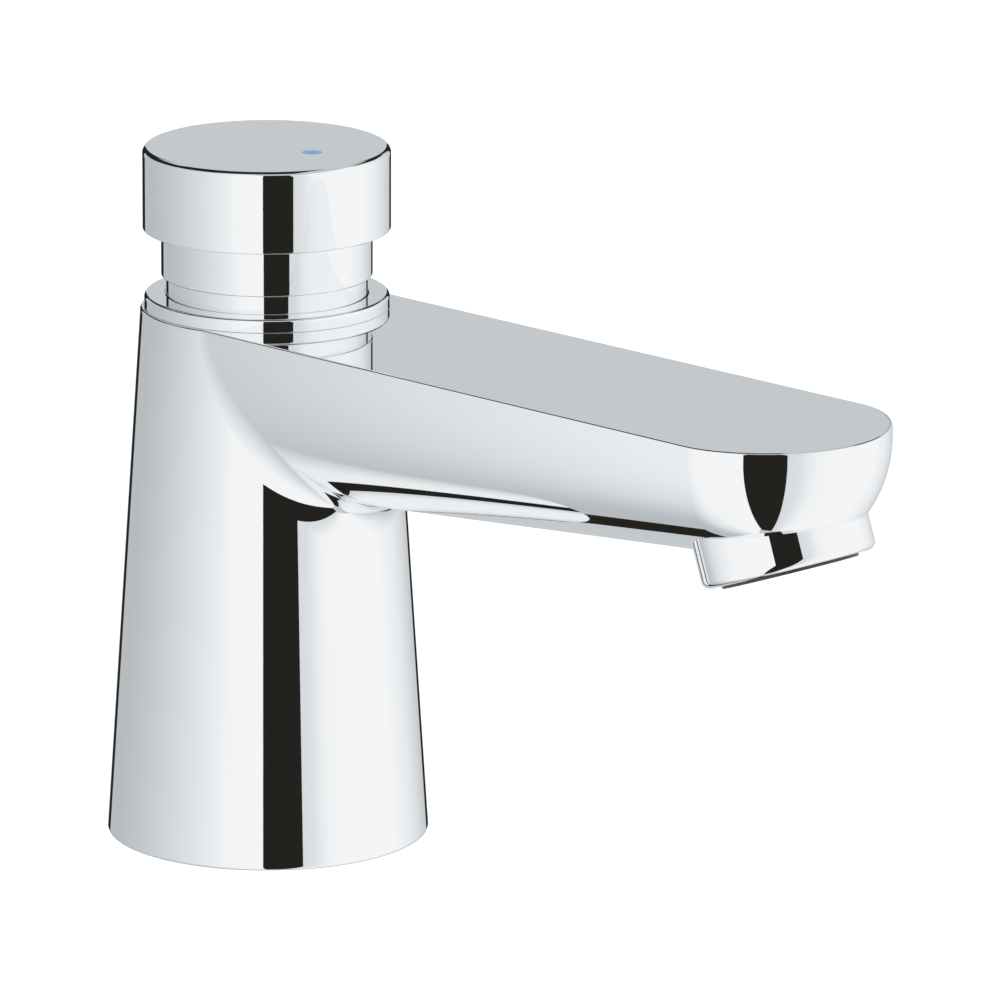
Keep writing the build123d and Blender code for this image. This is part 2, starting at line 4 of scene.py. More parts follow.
import bpy
import numpy as np
from bpy.props import FloatProperty, FloatVectorProperty, IntProperty, PointerProperty
from bpy.types import Operator, Panel, PropertyGroup
from mathutils import Euler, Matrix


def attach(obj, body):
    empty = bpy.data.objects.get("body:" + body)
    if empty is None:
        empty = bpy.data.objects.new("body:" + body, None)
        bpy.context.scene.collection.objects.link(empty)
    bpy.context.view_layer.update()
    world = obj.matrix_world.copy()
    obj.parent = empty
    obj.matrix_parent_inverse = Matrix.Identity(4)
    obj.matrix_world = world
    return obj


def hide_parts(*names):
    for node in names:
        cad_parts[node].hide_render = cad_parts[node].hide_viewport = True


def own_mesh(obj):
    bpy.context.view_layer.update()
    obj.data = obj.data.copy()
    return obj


bl_info = {
    "name": "Push timed tap",
    "version": (1, 0, 0),
    "blender": (4, 5, 0),
    "location": "3D View > Sidebar > Tap",
    "description": "Chrome basin tap with a push cap, dressed on its packed frame",
    "category": "Object",
}

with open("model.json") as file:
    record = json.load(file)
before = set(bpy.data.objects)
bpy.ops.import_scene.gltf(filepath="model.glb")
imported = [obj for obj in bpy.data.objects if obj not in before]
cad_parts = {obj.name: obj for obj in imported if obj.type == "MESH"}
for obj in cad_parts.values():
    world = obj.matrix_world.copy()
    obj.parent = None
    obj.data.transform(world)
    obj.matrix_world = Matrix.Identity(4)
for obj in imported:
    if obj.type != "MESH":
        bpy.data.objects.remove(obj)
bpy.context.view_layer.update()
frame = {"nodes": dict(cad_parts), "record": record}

# Points nearer than this become one, in metres
WELD = 1e-7
# Share of a spout outline's half that its nose takes
NOSE_SHARE = 0.4
# Steps round a turned piece, a small one, the stud's boss and a rounded edge, and over the dot
ROUND_STEPS = 288
SMALL_STEPS = 96
BOSS_STEPS = 64
EDGE_STEPS = 6
DOME_STEPS = 12
# Steps of the casting: down its flank, round half its nose, along the straight run, across the
# blend, round the column's back, up the column, over the flat top and up the outlet's collar
FLANK_STEPS = 72
NOSE_STEPS = 60
RUN_STEPS = 48
BLEND_STEPS = 16
BACK_STEPS = 180
COLUMN_STEPS = 32
FLAT_STEPS = 8
COLLAR_STEPS = 12
# Levels of the flat strip under the spout, after level 1 at its edge
STRIP_LEVELS = (1.35, 1.7, 2.0)
# Height above the deck at which the column's wall starts, in foot roundings
COLUMN_FOOT = 4
# Share of the head bore's radius at which its floor's hole starts
BORE_FLOOR = 0.7
# Levels between which the top edge is looked for
TOP_EDGE_LEVELS = (-1.0, 0.6)
# At how many levels the spout's skin keeps its meeting with the blend, and its normals' step
SKIN_LEVELS = 6001
SKIN_STEP = 1e-5
# A normal shorter than this before its scaling has no direction
NO_LENGTH = 1e-14
# Rounds of halving where surfaces meet, and of false position where a patch is cut
HALVINGS = 48
CROSSING_ROUNDS = 12
# Turn of a sheer side of the straightener's notches, in radians
NOTCH_SIDE = 1e-4
# Steps for each turn of the spring and round its wire
COIL_STEPS = 40
WIRE_STEPS = 14
# To the other side of the plane X = 0, and straight up
MIRROR = np.array([-1.0, 1.0, 1.0])
UP = np.array([0.0, 0.0, 1.0])


def length(name, description, default):
    """A length in metres that a user may change."""
    return FloatProperty(name=name, description=description, default=default, min=0.0,
                         precision=5, unit="LENGTH", subtype="DISTANCE")


def angle(name, description, degrees):
    """An angle that a user may change, given in degrees."""
    return FloatProperty(name=name, description=description, default=math.radians(degrees),
                         subtype="ANGLE", unit="ROTATION")


def share(name, description, default):
    """A plain share between nothing and all."""
    return FloatProperty(name=name, description=description, default=default, min=0.0, max=1.0,
                         subtype="FACTOR")


def colour(name, description, default):
    """A colour that a user may change."""
    return FloatVectorProperty(name=name, description=description, default=default, min=0.0,
                               max=1.0, size=3, subtype="COLOR")


class CastingSizes(PropertyGroup):
    """Column, spout and foot of the casting."""

    base_radius: length("Foot radius", "Column at the deck", 0.025)
    base_round: length("Foot edge", "Rounding of the foot's outer edge", 0.0006)
    height: length("Column height", "Flat top of column and spout", 0.0835)
    top_radius: length("Top radius", "Column at its top", 0.0195)
    edge_round: length("Top edge", "Rounding of the flat top's edge", 0.00045)
    reach: length("Reach", "Spout's tip from the column's axis", 0.1236)
    half_width: length("Half width", "Half the spout's width", 0.0188)
    under_flat: length("Underside flat", "Half the flat strip under the spout", 0.0006)
    wall: length("Wall", "Upright wall above the round flank", 0.0021)
    under_height: length("Underside height", "Underside's height at the column's axis", 0.0543)
    under_rise: angle("Underside rise", "Slope of the underside towards the tip", 5.1)
    tip_length: length("Nose length", "Length of the curved nose", 0.017)
    tip_tuck: share("Nose tuck", "Share of its length that the nose draws back below", 0.75)
    side_pull: share("Side pull", "Pull of the nose's curve at the straight side", 0.46)
    tip_pull: share("Tip pull", "Pull of the nose's curve at the tip", 0.545)
    pull_gain: share("Pull gain", "How much both pulls grow towards the underside", 0.08)
    blend_radius: length("Blend radius", "Ball that rolls between spout and column", 0.007)
    pocket_depth: length("Pocket depth", "Hollow in the foot", 0.026)
    pocket_radius: length("Pocket radius", "Hollow in the foot at its mouth", 0.0218)
    rabbet_radius: length("Rabbet radius", "Seat of the foot's gasket", 0.02365)
    rabbet_depth: length("Rabbet depth", "Depth of the gasket's seat", 0.0012)
    inlet_radius: length("Inlet radius", "Socket of the inlet adapter", 0.0083)
    inlet_top: length("Inlet top", "Upper end of the inlet's socket", 0.034)
    stud_offset: length("Stud offset", "Fixing stud behind the axis", 0.0155)
    stud_boss: length("Stud boss", "Radius of the stud's boss", 0.0052)
    stud_hole: length("Stud hole", "Radius of the stud's hole", 0.0034)
    stud_low: length("Stud boss height", "Lower end of the stud's boss", 0.008)
    stud_depth: length("Stud depth", "Depth of the stud's hole", 0.015)
    head_bore: length("Head bore", "Bore in the column's top", 0.0166)
    head_depth: length("Head depth", "Depth of that bore", 0.0072)


class OutletSizes(PropertyGroup):
    """Tilted collar under the spout's tip and the flow straightener in it."""

    along: length("Place", "Rim's centre from the column's axis", 0.110)
    height: length("Height", "Rim's centre above the deck", 0.0622)
    tilt: angle("Tilt", "Outlet's axis from upright", 20.0)
    radius: length("Radius", "Collar's outside", 0.01315)
    edge: length("Edge", "Rounding of the collar's lower edge", 0.0012)
    straight: length("Start of the wall", "Where the collar's plain wall begins", 0.002)
    socket: length("Socket", "Radius of the straightener's thread", 0.0108)
    depth: length("Socket depth", "Depth of that thread", 0.0102)
    way: length("Waterway", "Bore above the socket", 0.0085)
    way_top: length("Waterway top", "End of that bore", 0.014)
    lap: length("Lap", "How far the collar runs on into the spout", 0.0003)
    ring_radius: length("Ring radius", "Straightener's rim", 0.01035)
    ring_depth: length("Ring depth", "How far the rim stands out", 0.0005)
    ring_bore: length("Ring bore", "Inside of the straightener's ring", 0.009)
    ring_length: length("Ring length", "Length of the straightener's ring", 0.0086)
    ring_edge: length("Ring edge", "Rounding of the rim", 0.00012)
    notch_width: length("Notch width", "Key notches in the rim", 0.0024)
    notches: IntProperty(name="Notches", description="Key notches in the rim", default=6, min=0)


class HeadSizes(PropertyGroup):
    """Ring, sleeve, push cap, dot and spring."""

    ring_radius: length("Ring radius", "Collar ring on the column", 0.0189)
    ring_height: length("Ring height", "Collar ring above the flat top", 0.0021)
    ring_edge: length("Ring edge", "Rounding of its upper edge", 0.00065)
    ring_recess: length("Ring recess", "Recess round the neck", 0.0157)
    recess_depth: length("Recess depth", "Depth of that recess", 0.0013)
    ring_bore: length("Ring bore", "Inside of the ring", 0.0136)
    skirt_depth: length("Skirt depth", "Ring below the flat top", 0.0042)
    neck_radius: length("Neck radius", "Narrow part above the ring", 0.01554)
    neck_top: length("Neck top", "Where the sleeve widens", 0.0885)
    sleeve_radius: length("Sleeve radius", "Part that the cap slides over", 0.01629)
    sleeve_top: length("Sleeve top", "Upper end inside the cap", 0.0973)
    sleeve_bore: length("Sleeve bore", "Inside of the sleeve", 0.01345)
    sleeve_edge: length("Sleeve edge", "Rounding of its lower edge", 0.00025)
    cap_radius: length("Cap radius", "Push cap", 0.01911)
    cap_low: length("Cap foot", "Lower edge of the push cap", 0.0958)
    cap_top: length("Cap top", "Top of the push cap", 0.1086)
    cap_roof: length("Cap roof", "Thickness of the cap's top", 0.002)
    cap_bore: length("Cap bore", "Inside of the cap", 0.0166)
    cap_edge: length("Cap edge", "Rounding of the upper edge", 0.00105)
    cap_foot: length("Cap foot edge", "Rounding of the lower edge", 0.00025)
    dot_offset: length("Dot place", "Dot in front of the axis", 0.0084)
    dot_across: length("Dot side", "Dot beside the spout's middle line", 0.0015)
    dot_radius: length("Dot radius", "Radius of the dot", 0.00155)
    dot_depth: length("Dot depth", "Depth of the dot", 0.0006)
    dot_crown: length("Dot crown", "How far the dot's middle stands up", 0.00004)
    fine_edge: length("Fine edge", "Broken edges elsewhere", 0.00012)
    coil_radius: length("Coil radius", "Middle of the spring's wire", 0.0074)
    wire_radius: length("Wire radius", "Spring's wire", 0.0006)
    coil_low: length("Coil foot", "Seat of the spring", 0.0805)
    coil_high: length("Coil top", "Upper seat of the spring", 0.1044)
    coil_gap: length("Coil gap", "Gap to each seat", 0.0001)
    coil_turns: FloatProperty(name="Turns", description="Turns of the spring", default=7.5, min=1.0)
    coil_close: share("Close ends", "How much closer the end turns lie", 0.5)
    press: length("Press", "Travel of the cap", 0.007)


class Finishes(PropertyGroup):
    """Colours of the materials."""

    chrome: colour("Chrome", "Polished plating", (0.925, 0.935, 0.945))
    brass: colour("Brass", "Turned brass", (0.72, 0.55, 0.28))
    rubber: colour("Rubber", "Black seal rubber", (0.025, 0.025, 0.027))
    white: colour("White acetal", "Pale moulded plastic", (0.74, 0.74, 0.70))
    grey: colour("Grey acetal", "Dark moulded plastic", (0.085, 0.088, 0.092))
    steel: colour("Steel", "Drawn stainless steel", (0.56, 0.57, 0.58))
    fibre: colour("Fibre", "Pressed washer", (0.35, 0.08, 0.04))
    enamel: colour("Enamel", "Blue inlay on the cap", (0.083, 0.335, 0.700))


class StudioSettings(PropertyGroup):
    """Light cards, floor and camera."""

    camera_place: FloatVectorProperty(name="Camera place", description="Where the camera stands",
                                      default=(-1.05698, -1.08453, 0.44475), size=3,
                                      unit="LENGTH", subtype="TRANSLATION")
    camera_yaw: angle("Camera yaw", "Heading of the view, from +X towards +Y", 44.37626)
    camera_pitch: angle("Camera pitch", "Tilt of the view above level", -14.52198)
    camera_roll: angle("Camera roll", "Turn of the frame", 0.2113)
    camera_lens: FloatProperty(name="Lens", description="Focal length in millimetres",
                               default=364.146, min=1.0)
    side_card: length("Side card", "Left card from the tap's axis", 0.065)
    front_card: length("Front card", "Front cards from the tap's axis", 0.377)
    far_cards: length("Far cards", "Right and back cards from the tap's axis", 0.4)
    white: share("White", "Light of the brightest card", 0.98)
    black: share("Black", "Light of the black card", 0.017)
    panel: share("Panel", "Light all round beyond the cards", 0.61)
    depth: length("Depth", "How far the cards reach below the deck", 2.0)
    floor_radius: length("Floor radius", "Pale floor", 3.0)
    floor_glow: share("Floor glow", "Light of the floor as the camera sees it", 0.82)
    floor_shade: share("Floor shade", "Floor's grey that takes the shadow", 0.42)
    floor_bounce: share("Floor bounce", "Floor's grey as matt surfaces see it", 0.86)
    soft: share("Soft light", "Light all round for matt surfaces", 0.9)


# Surfaces. A patch is (points, normals, triangles).


def grid_patch(points, normals):
    """A patch from a grid of points: two triangles for each cell."""
    rows, columns = points.shape[:2]
    index = np.arange(rows * columns).reshape(rows, columns)
    a, b = index[:-1, :-1].ravel(), index[:-1, 1:].ravel()
    c, d = index[1:, 1:].ravel(), index[1:, :-1].ravel()
    triangles = np.concatenate([np.stack([a, b, c], 1), np.stack([a, c, d], 1)])
    return points.reshape(-1, 3), normals.reshape(-1, 3), triangles


def clip_patch(patch, spots, surface, field):
    """The part of a patch where field is above zero, cut exactly.

    Each grid point has two coordinates in spots. On a triangle's edge that crosses zero, the
    crossing is found by repeated false position along the edge in those coordinates, and surface
    gives its point and normal there.
    """
    points, normals, triangles = patch
    value = field(points)
    inside = value[triangles] > 0
    count = inside.sum(1)
    kept = [triangles[count == 3]]
    made_points, made_normals, start = [], [], len(points)
    for wanted, odd_in in ((1, True), (2, False)):
        cut = triangles[count == wanted]
        lone = np.argmax(inside[count == wanted] == odd_in, axis=1)
        cut = np.take_along_axis(cut, (lone[:, None] + np.arange(3)) % 3, axis=1)
        new = []
        for other in (1, 2):
            low = np.minimum(cut[:, 0], cut[:, other])
            high = np.maximum(cut[:, 0], cut[:, other])
            near, far = np.zeros(len(low)), np.ones(len(low))
            at_near, at_far = value[low], value[high]
            for _ in range(CROSSING_ROUNDS):
                step = near + (far - near) * at_near / (at_near - at_far)
                spot = spots[low] + (spots[high] - spots[low]) * step[:, None]
                found, normal = surface(spot[:, 0], spot[:, 1])
                level = field(found)
                same = np.sign(level) == np.sign(at_near)
                near, at_near = np.where(same, step, near), np.where(same, level, at_near)
                far, at_far = np.where(same, far, step), np.where(same, at_far, level)
            made_points.append(found)
            made_normals.append(normal)
            new.append(start + np.arange(len(found)))
            start += len(found)
        first, second = new
        if odd_in:
            kept.append(np.stack([cut[:, 0], first, second], 1))
        else:
            kept.append(np.stack([first, cut[:, 1], cut[:, 2]], 1))
            kept.append(np.stack([first, cut[:, 2], second], 1))
    return (np.concatenate([points] + made_points), np.concatenate([normals] + made_normals),
            np.concatenate(kept))


def mirrored(patch):
    """The same patch on the other side of the plane X = 0."""
    return patch[0] * MIRROR, patch[1] * MIRROR, patch[2]


def placed(patch, origin, tilt):
    """A patch drawn about the origin's Z axis, tilted back about X by tilt and moved to origin."""
    ex = np.array([1.0, 0.0, 0.0])
    ez = np.array([0.0, math.sin(tilt), math.cos(tilt)])
    axes = np.stack([ex, np.cross(ez, ex), ez])
    return patch[0] @ axes + np.array(origin), patch[1] @ axes, patch[2]


def circle(steps):
    """Angles once round, the first and the last in the same place."""
    return np.linspace(0.0, 2 * math.pi, steps + 1)


def level_way(angles):
    """Level directions of length 1, (cos a, sin a, 0) at each angle a."""
    return np.stack([np.cos(angles), np.sin(angles), np.zeros_like(angles)], -1)


def section(*corners):
    """Strips of a section outline with rounded corners.

    A corner is (radius, height, rounding). Walked so that metal lies on the left, the outward
    normal is the direction turned a quarter right. A rounding r takes r times the tangent of half
    the turn off both neighbours and runs an arc between them.
    """
    places = np.array([corner[:2] for corner in corners], float)
    ways = np.diff(places, axis=0)
    ways /= np.linalg.norm(ways, axis=1)[:, None]
    outward = np.stack([ways[:, 1], -ways[:, 0]], 1)
    strips, run = [], [(places[0], outward[0])]
    for k in range(1, len(places)):
        radius = corners[k][2] if len(corners[k]) > 2 and k < len(places) - 1 else 0.0
        if radius == 0.0:
            run.append((places[k], outward[k - 1]))
            strips.append(run)
            if k < len(places) - 1:
                run = [(places[k], outward[k])]
            continue
        before, after = ways[k - 1], ways[k]
        turn = math.atan2(before[0] * after[1] - before[1] * after[0], before @ after)
        side = math.copysign(1.0, turn)
        start = places[k] - before * radius * math.tan(abs(turn) / 2)
        centre = start - side * radius * outward[k - 1]
        for part in np.linspace(0.0, turn, EDGE_STEPS + 1):
            c, s = math.cos(part), math.sin(part)
            nx, nz = outward[k - 1]
            normal = np.array([c * nx - s * nz, s * nx + c * nz])
            run.append((centre + side * radius * normal, normal))
    return [(np.array([p for p, _ in strip]), np.array([n for _, n in strip])) for strip in strips]


def turned(strips, angles=None):
    """Strips of a section carried round the Z axis: (r cos a, r sin a, z) at each angle a."""
    if angles is None:
        angles = circle(ROUND_STEPS)
    c, s = np.cos(angles)[None, :], np.sin(angles)[None, :]
    patches = []
    for places, normals in strips:
        r, z = places[:, :1], places[:, 1:]
        nr, nz = normals[:, :1], normals[:, 1:]
        flat = np.zeros_like(c)
        patches.append(grid_patch(np.stack([r * c, r * s, z + flat], -1),
                                  np.stack([nr * c, nr * s, nz + flat], -1)))
    return patches


def make_piece(name, patches, body, nodes, slot):
    """One mesh from patches, riding on a body in place of CAD nodes.

    Points nearer than WELD are joined, triangles that this leaves flat are dropped, and each
    triangle is turned so that it faces the way its surface normals point. The normals are kept.
    The slot also names the piece's material.
    """
    points = np.concatenate([p for p, _, _ in patches])
    normals = np.concatenate([n for _, n, _ in patches])
    starts = np.cumsum([0] + [len(p) for p, _, _ in patches[:-1]])
    triangles = np.concatenate([t + s for (_, _, t), s in zip(patches, starts)])
    keys = np.round(points / WELD).astype(np.int64)
    _, first, inverse = np.unique(keys, axis=0, return_index=True, return_inverse=True)
    inverse = inverse.reshape(-1)
    joined = inverse[triangles]
    whole = ((joined[:, 0] != joined[:, 1]) & (joined[:, 1] != joined[:, 2])
             & (joined[:, 0] != joined[:, 2]))
    triangles, joined = triangles[whole], joined[whole]
    corner = points[triangles]
    facing = np.cross(corner[:, 1] - corner[:, 0], corner[:, 2] - corner[:, 0])
    back = (facing * normals[triangles].sum(1)).sum(1) < 0
    triangles[back], joined[back] = triangles[back][:, ::-1], joined[back][:, ::-1]
    used, compact = np.unique(joined, return_inverse=True)
    mesh = bpy.data.meshes.new(name)
    mesh.from_pydata(points[first][used].tolist(), [], compact.reshape(-1, 3).tolist())
    mesh.polygons.foreach_set("use_smooth", np.ones(len(joined), bool))
    mesh.normals_split_custom_set(normals[triangles].reshape(-1, 3).tolist())
    mesh.materials.append(materials(bpy.context.scene.tap_finishes)[slot])
    mesh.update()
    piece = bpy.data.objects.new(name, mesh)
    bpy.context.scene.collection.objects.link(piece)
    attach(piece, body)
    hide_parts(*nodes)
    return piece


# The casting's outside. Along is measured from the column's axis towards the tip.


def column_slope(c):
    """The column's taper, its radius lost for each length of height, and the wall's lean."""
    taper = (c.base_radius - c.top_radius) / c.height
    return taper, math.atan(taper)


def spout_level(c, level):
    """The flank's turn, half width, tip and the nose's two pulls at each level.

    Level -1 to 0 is the upright wall, 0 to 1 turns the flank a quarter, 1 to 2 closes the flat
    strip under the spout. At a turn q the half width is the flat plus the rest times cos q. With
    e for (1 - cos q) the nose is shorter by the share tuck times e, and both pulls are larger
    by gain times e.
    """
    turn = np.clip(level, 0, 1) * math.pi / 2
    half = c.under_flat * np.clip(2 - level, 0, 1) + (c.half_width - c.under_flat) * np.cos(turn)
    closed = 1 - np.cos(turn)
    tip = c.reach - c.tip_length * c.tip_tuck * closed
    return turn, half, tip, (c.side_pull + c.pull_gain * closed, c.tip_pull + c.pull_gain * closed)


def flank_depth(c, along):
    """Half ellipse's height: from the wall's foot down to the underside, which rises."""
    return c.height - c.wall - c.under_height - math.tan(c.under_rise) * along


def flank_height(c, along, level):
    """Height of the flank: the wall's foot less depth times sin q.

    From level 0 up to -1 it adds three walls, so that the surface passes the flat top.
    """
    turn = np.clip(level, 0, 1) * math.pi / 2
    return (c.height - c.wall - flank_depth(c, along) * np.sin(turn)
            + 3 * c.wall * np.maximum(0, -level))


def nose_curve(u, side_pull, tip_pull):
    """Shares of the nose's length and of its half width on a cubic Bezier curve.

    Its corners are (0, 1), (side pull, 1), (1, tip pull) and (1, 0), and u runs from 0 to 1.
    """
    v = 1 - u
    return (3 * v ** 2 * u * side_pull + 3 * v * u ** 2 + u ** 3,
            v ** 3 + 3 * v ** 2 * u + 3 * v * u ** 2 * tip_pull)


def spout_point(c, s, level, back):
    """A point of the spout's side and underside.

    s runs from 1 at the blend on one side through 0 at the tip to -1. The straight run from back
    leads to the nose.
    """
    _, half, tip, pulls = spout_level(c, level)
    start = c.reach - c.tip_length
    k = np.abs(s)
    ahead, beside = nose_curve(1 - np.minimum(k / NOSE_SHARE, 1), *pulls)
    run = np.maximum(k - NOSE_SHARE, 0) / (1 - NOSE_SHARE)
    along = np.where(k > NOSE_SHARE, start + (back - start) * run, start + (tip - start) * ahead)
    return np.stack([np.sign(s) * half * beside, -along, flank_height(c, along, level)], -1)


def blend_ball(c, level):
    """Centre of the ball that touches spout and column, and the two directions out of the metal.

    All are (along, across, up) on the +X side. The ball lies one radius off the spout, and its
    place along the spout is halved down until it also lies one radius off the column's cone.
    """
    turn, half, _, _ = spout_level(c, level)
    width, slope = c.half_width - c.under_flat, math.tan(c.under_rise)
    taper, lean = column_slope(c)
    near, far = np.zeros_like(half), np.full_like(half, c.reach)
    for _ in range(HALVINGS):
        middle = (near + far) / 2
        away = np.stack([slope * width * np.sin(turn) ** 2, flank_depth(c, middle) * np.cos(turn),
                         -width * np.sin(turn)], -1)
        away /= np.linalg.norm(away, axis=-1, keepdims=True)
        centre = np.stack([middle, half, flank_height(c, middle, level)], -1)
        centre = centre + c.blend_radius * away
        gap = np.hypot(centre[..., 0], centre[..., 1]) - c.base_radius + taper * centre[..., 2]
        clear = gap * math.cos(lean) > c.blend_radius
        near, far = np.where(clear, near, middle), np.where(clear, middle, far)
    out = np.hypot(centre[..., 0], centre[..., 1]) / math.cos(lean)
    cone = np.stack([centre[..., 0] / out, centre[..., 1] / out,
                     np.full_like(out, math.sin(lean))], -1)
    return centre, away, cone


def blend_point(c, level, part):
    """Point and normal of the blend: part 0 lies on the spout, 1 on the column.

    The direction turns evenly from one touching direction to the other, and the point is the
    ball's centre less radius times that direction.
    """
    centre, away, cone = blend_ball(c, level)
    between = np.arccos(np.clip((away * cone).sum(-1), -1, 1))
    one = (np.sin((1 - part) * between) / np.sin(between))[..., None]
    two = (np.sin(part * between) / np.sin(between))[..., None]
    way = one * away + two * cone
    place = centre - c.blend_radius * way
    return (np.stack([place[..., 1], -place[..., 0], place[..., 2]], -1),
            np.stack([way[..., 1], -way[..., 0], way[..., 2]], -1))


class SpoutSkin:
    """The spout's surface with its normals, for any s and level."""

    def __init__(self, c):
        self.c = c
        self.levels = np.linspace(-1.0, 2.0, SKIN_LEVELS)
        centre, away, _ = blend_ball(c, self.levels)
        self.backs = (centre - c.blend_radius * away)[:, 0]

    def place(self, s, level):
        """The point alone, with the straight run's end read from the kept levels."""
        return spout_point(self.c, s, level, np.interp(level, self.levels, self.backs))

    def __call__(self, s, level):
        """Normal: cross product of the small steps either side along s and along level.

        At the very tip of the flat strip the levels meet, so the strip's own normal stands there.
        """
        s, level = np.broadcast_arrays(np.asarray(s, float), np.asarray(level, float))
        down = (self.place(s, np.minimum(level + SKIN_STEP, 2.0))
                - self.place(s, np.maximum(level - SKIN_STEP, -1.0)))
        back = np.interp(level, self.levels, self.backs)
        ahead = spout_point(self.c, s + SKIN_STEP, level, back)
        behind = spout_point(self.c, s - SKIN_STEP, level, back)
        normal = np.cross(down, ahead - behind)
        size = np.linalg.norm(normal, axis=-1, keepdims=True)
        slope = math.tan(self.c.under_rise)
        below = np.array([0.0, -slope, -1.0]) / math.hypot(slope, 1.0)
        normal = np.where(size < NO_LENGTH, below, normal / np.maximum(size, NO_LENGTH))
        return self.place(s, level), normal


def top_level(c, surface, count):
    """The levels at which a surface meets the top edge's rounding, on each of its lines.

    Found by halving: there the height less rounding times the normal's rise equals the top less
    the rounding.
    """
    low, high = (np.full(count, level) for level in TOP_EDGE_LEVELS)
    for _ in range(HALVINGS):
        middle = (low + high) / 2
        points, normals = surface(middle)
        above = points[..., 2] - c.edge_round * normals[..., 2] > c.height - c.edge_round
        low, high = np.where(above, middle, low), np.where(above, high, middle)
    return (low + high) / 2


def casting_patches(c, o):
    """All faces of the casting: spout, blend, column, top, foot, bores and outlet."""
    skin = SpoutSkin(c)

    def levels(top):
        """Levels from the top edge to the middle of the underside, with a short last stretch."""
        flank = top + (1 - top) * np.linspace(0, 1, FLANK_STEPS + 1)[:, None]
        strip = np.repeat(np.array(STRIP_LEVELS)[:, None], len(top), 1)
        return np.concatenate([flank, strip])

    s = np.concatenate([np.linspace(0, NOSE_SHARE, NOSE_STEPS + 1),
                        np.linspace(NOSE_SHARE, 1, RUN_STEPS + 1)[1:]])
    s = np.concatenate([-s[:0:-1], s])
    spout_top = top_level(c, lambda level: skin(s, level), len(s))
    spots = levels(spout_top)
    spot_s = np.broadcast_to(s[None, :], spots.shape)
    hull = grid_patch(*skin(spot_s, spots))
    origin = np.array([0.0, -o.along, o.height])
    rise = np.array([0.0, math.sin(o.tilt), math.cos(o.tilt)])

    def off_outlet(points):
        """Distance from the outlet's axis less the collar's radius."""
        arm = points - origin
        arm = arm - (arm @ rise)[:, None] * rise
        return np.linalg.norm(arm, axis=1) - o.radius

    pairs = np.stack([spot_s.ravel(), spots.ravel()], 1)
    patches = [clip_patch(hull, pairs, skin, off_outlet)]

    part = np.linspace(0, 1, BLEND_STEPS + 1)
    blend_top = top_level(c, lambda level: blend_point(c, level, part), len(part))
    blend_spots = levels(blend_top)
    blend = blend_point(c, blend_spots, np.broadcast_to(part[None, :], blend_spots.shape))
    patches += [grid_patch(*blend), mirrored(grid_patch(*blend))]

    taper, lean = column_slope(c)
    seam = blend[0][::-1, -1]
    seam_angle = np.arctan2(seam[:, 0], -seam[:, 1])
    back_angle = np.linspace(seam_angle[-1], 2 * math.pi - seam_angle[-1], BACK_STEPS + 1)
    rim = c.height - c.edge_round + c.edge_round * math.sin(lean)
    turn = np.concatenate([seam_angle, back_angle[1:-1], 2 * math.pi - seam_angle[::-1]])
    upper = np.concatenate([seam[:, 2], np.full(BACK_STEPS - 1, rim), seam[::-1, 2]])
    low = COLUMN_FOOT * c.base_round
    height = low + (upper - low)[None, :] * np.linspace(0, 1, COLUMN_STEPS + 1)[:, None]
    radius = c.base_radius - taper * height
    face = turn - math.pi / 2
    column = np.stack([radius * np.cos(face), radius * np.sin(face), height], -1)
    out = np.stack([np.cos(face) * math.cos(lean), np.sin(face) * math.cos(lean),
                    np.full_like(face, math.sin(lean))], -1)
    patches.append(grid_patch(column, np.broadcast_to(out, column.shape)))

    back = slice(len(seam), -len(seam))
    walls = (skin(s, spout_top), (blend[0][0][1:], blend[1][0][1:]), (column[-1][back], out[back]),
             ((blend[0][0] * MIRROR)[::-1], (blend[1][0] * MIRROR)[::-1]))
    patches += top_patches(c, *(np.concatenate(lines) for lines in zip(*walls)))
    patches += foot_patches(c, taper, low, face)
    patches += outlet_patches(c, o)
    return patches


def top_patches(c, points, normals):
    """Rounded edge and flat top, from a closed line of points where the walls end.

    The edge is an arc about the point one rounding inside the wall, from the wall's normal to
    upright. The flat runs from its inner line straight to the bore's circle.
    """
    level = np.hypot(normals[:, 0], normals[:, 1])
    outward = normals[:, :2] / level[:, None]
    lean = np.arctan2(normals[:, 2], level)
    centre = points - c.edge_round * normals
    climb = lean + (math.pi / 2 - lean) * np.linspace(0, 1, EDGE_STEPS + 1)[:, None]
    way = np.concatenate([np.cos(climb)[..., None] * outward, np.sin(climb)[..., None]], -1)
    edge = grid_patch(centre + c.edge_round * way, way)
    rim = centre + c.edge_round * UP
    bore = rim[:, :2] / np.linalg.norm(rim[:, :2], axis=1)[:, None] * c.head_bore
    bore = np.concatenate([bore, np.full((len(bore), 1), c.height)], 1)
    flat = rim + (bore - rim) * np.linspace(0, 1, FLAT_STEPS + 1)[:, None, None]
    return [edge, grid_patch(flat, np.broadcast_to(UP, flat.shape))]


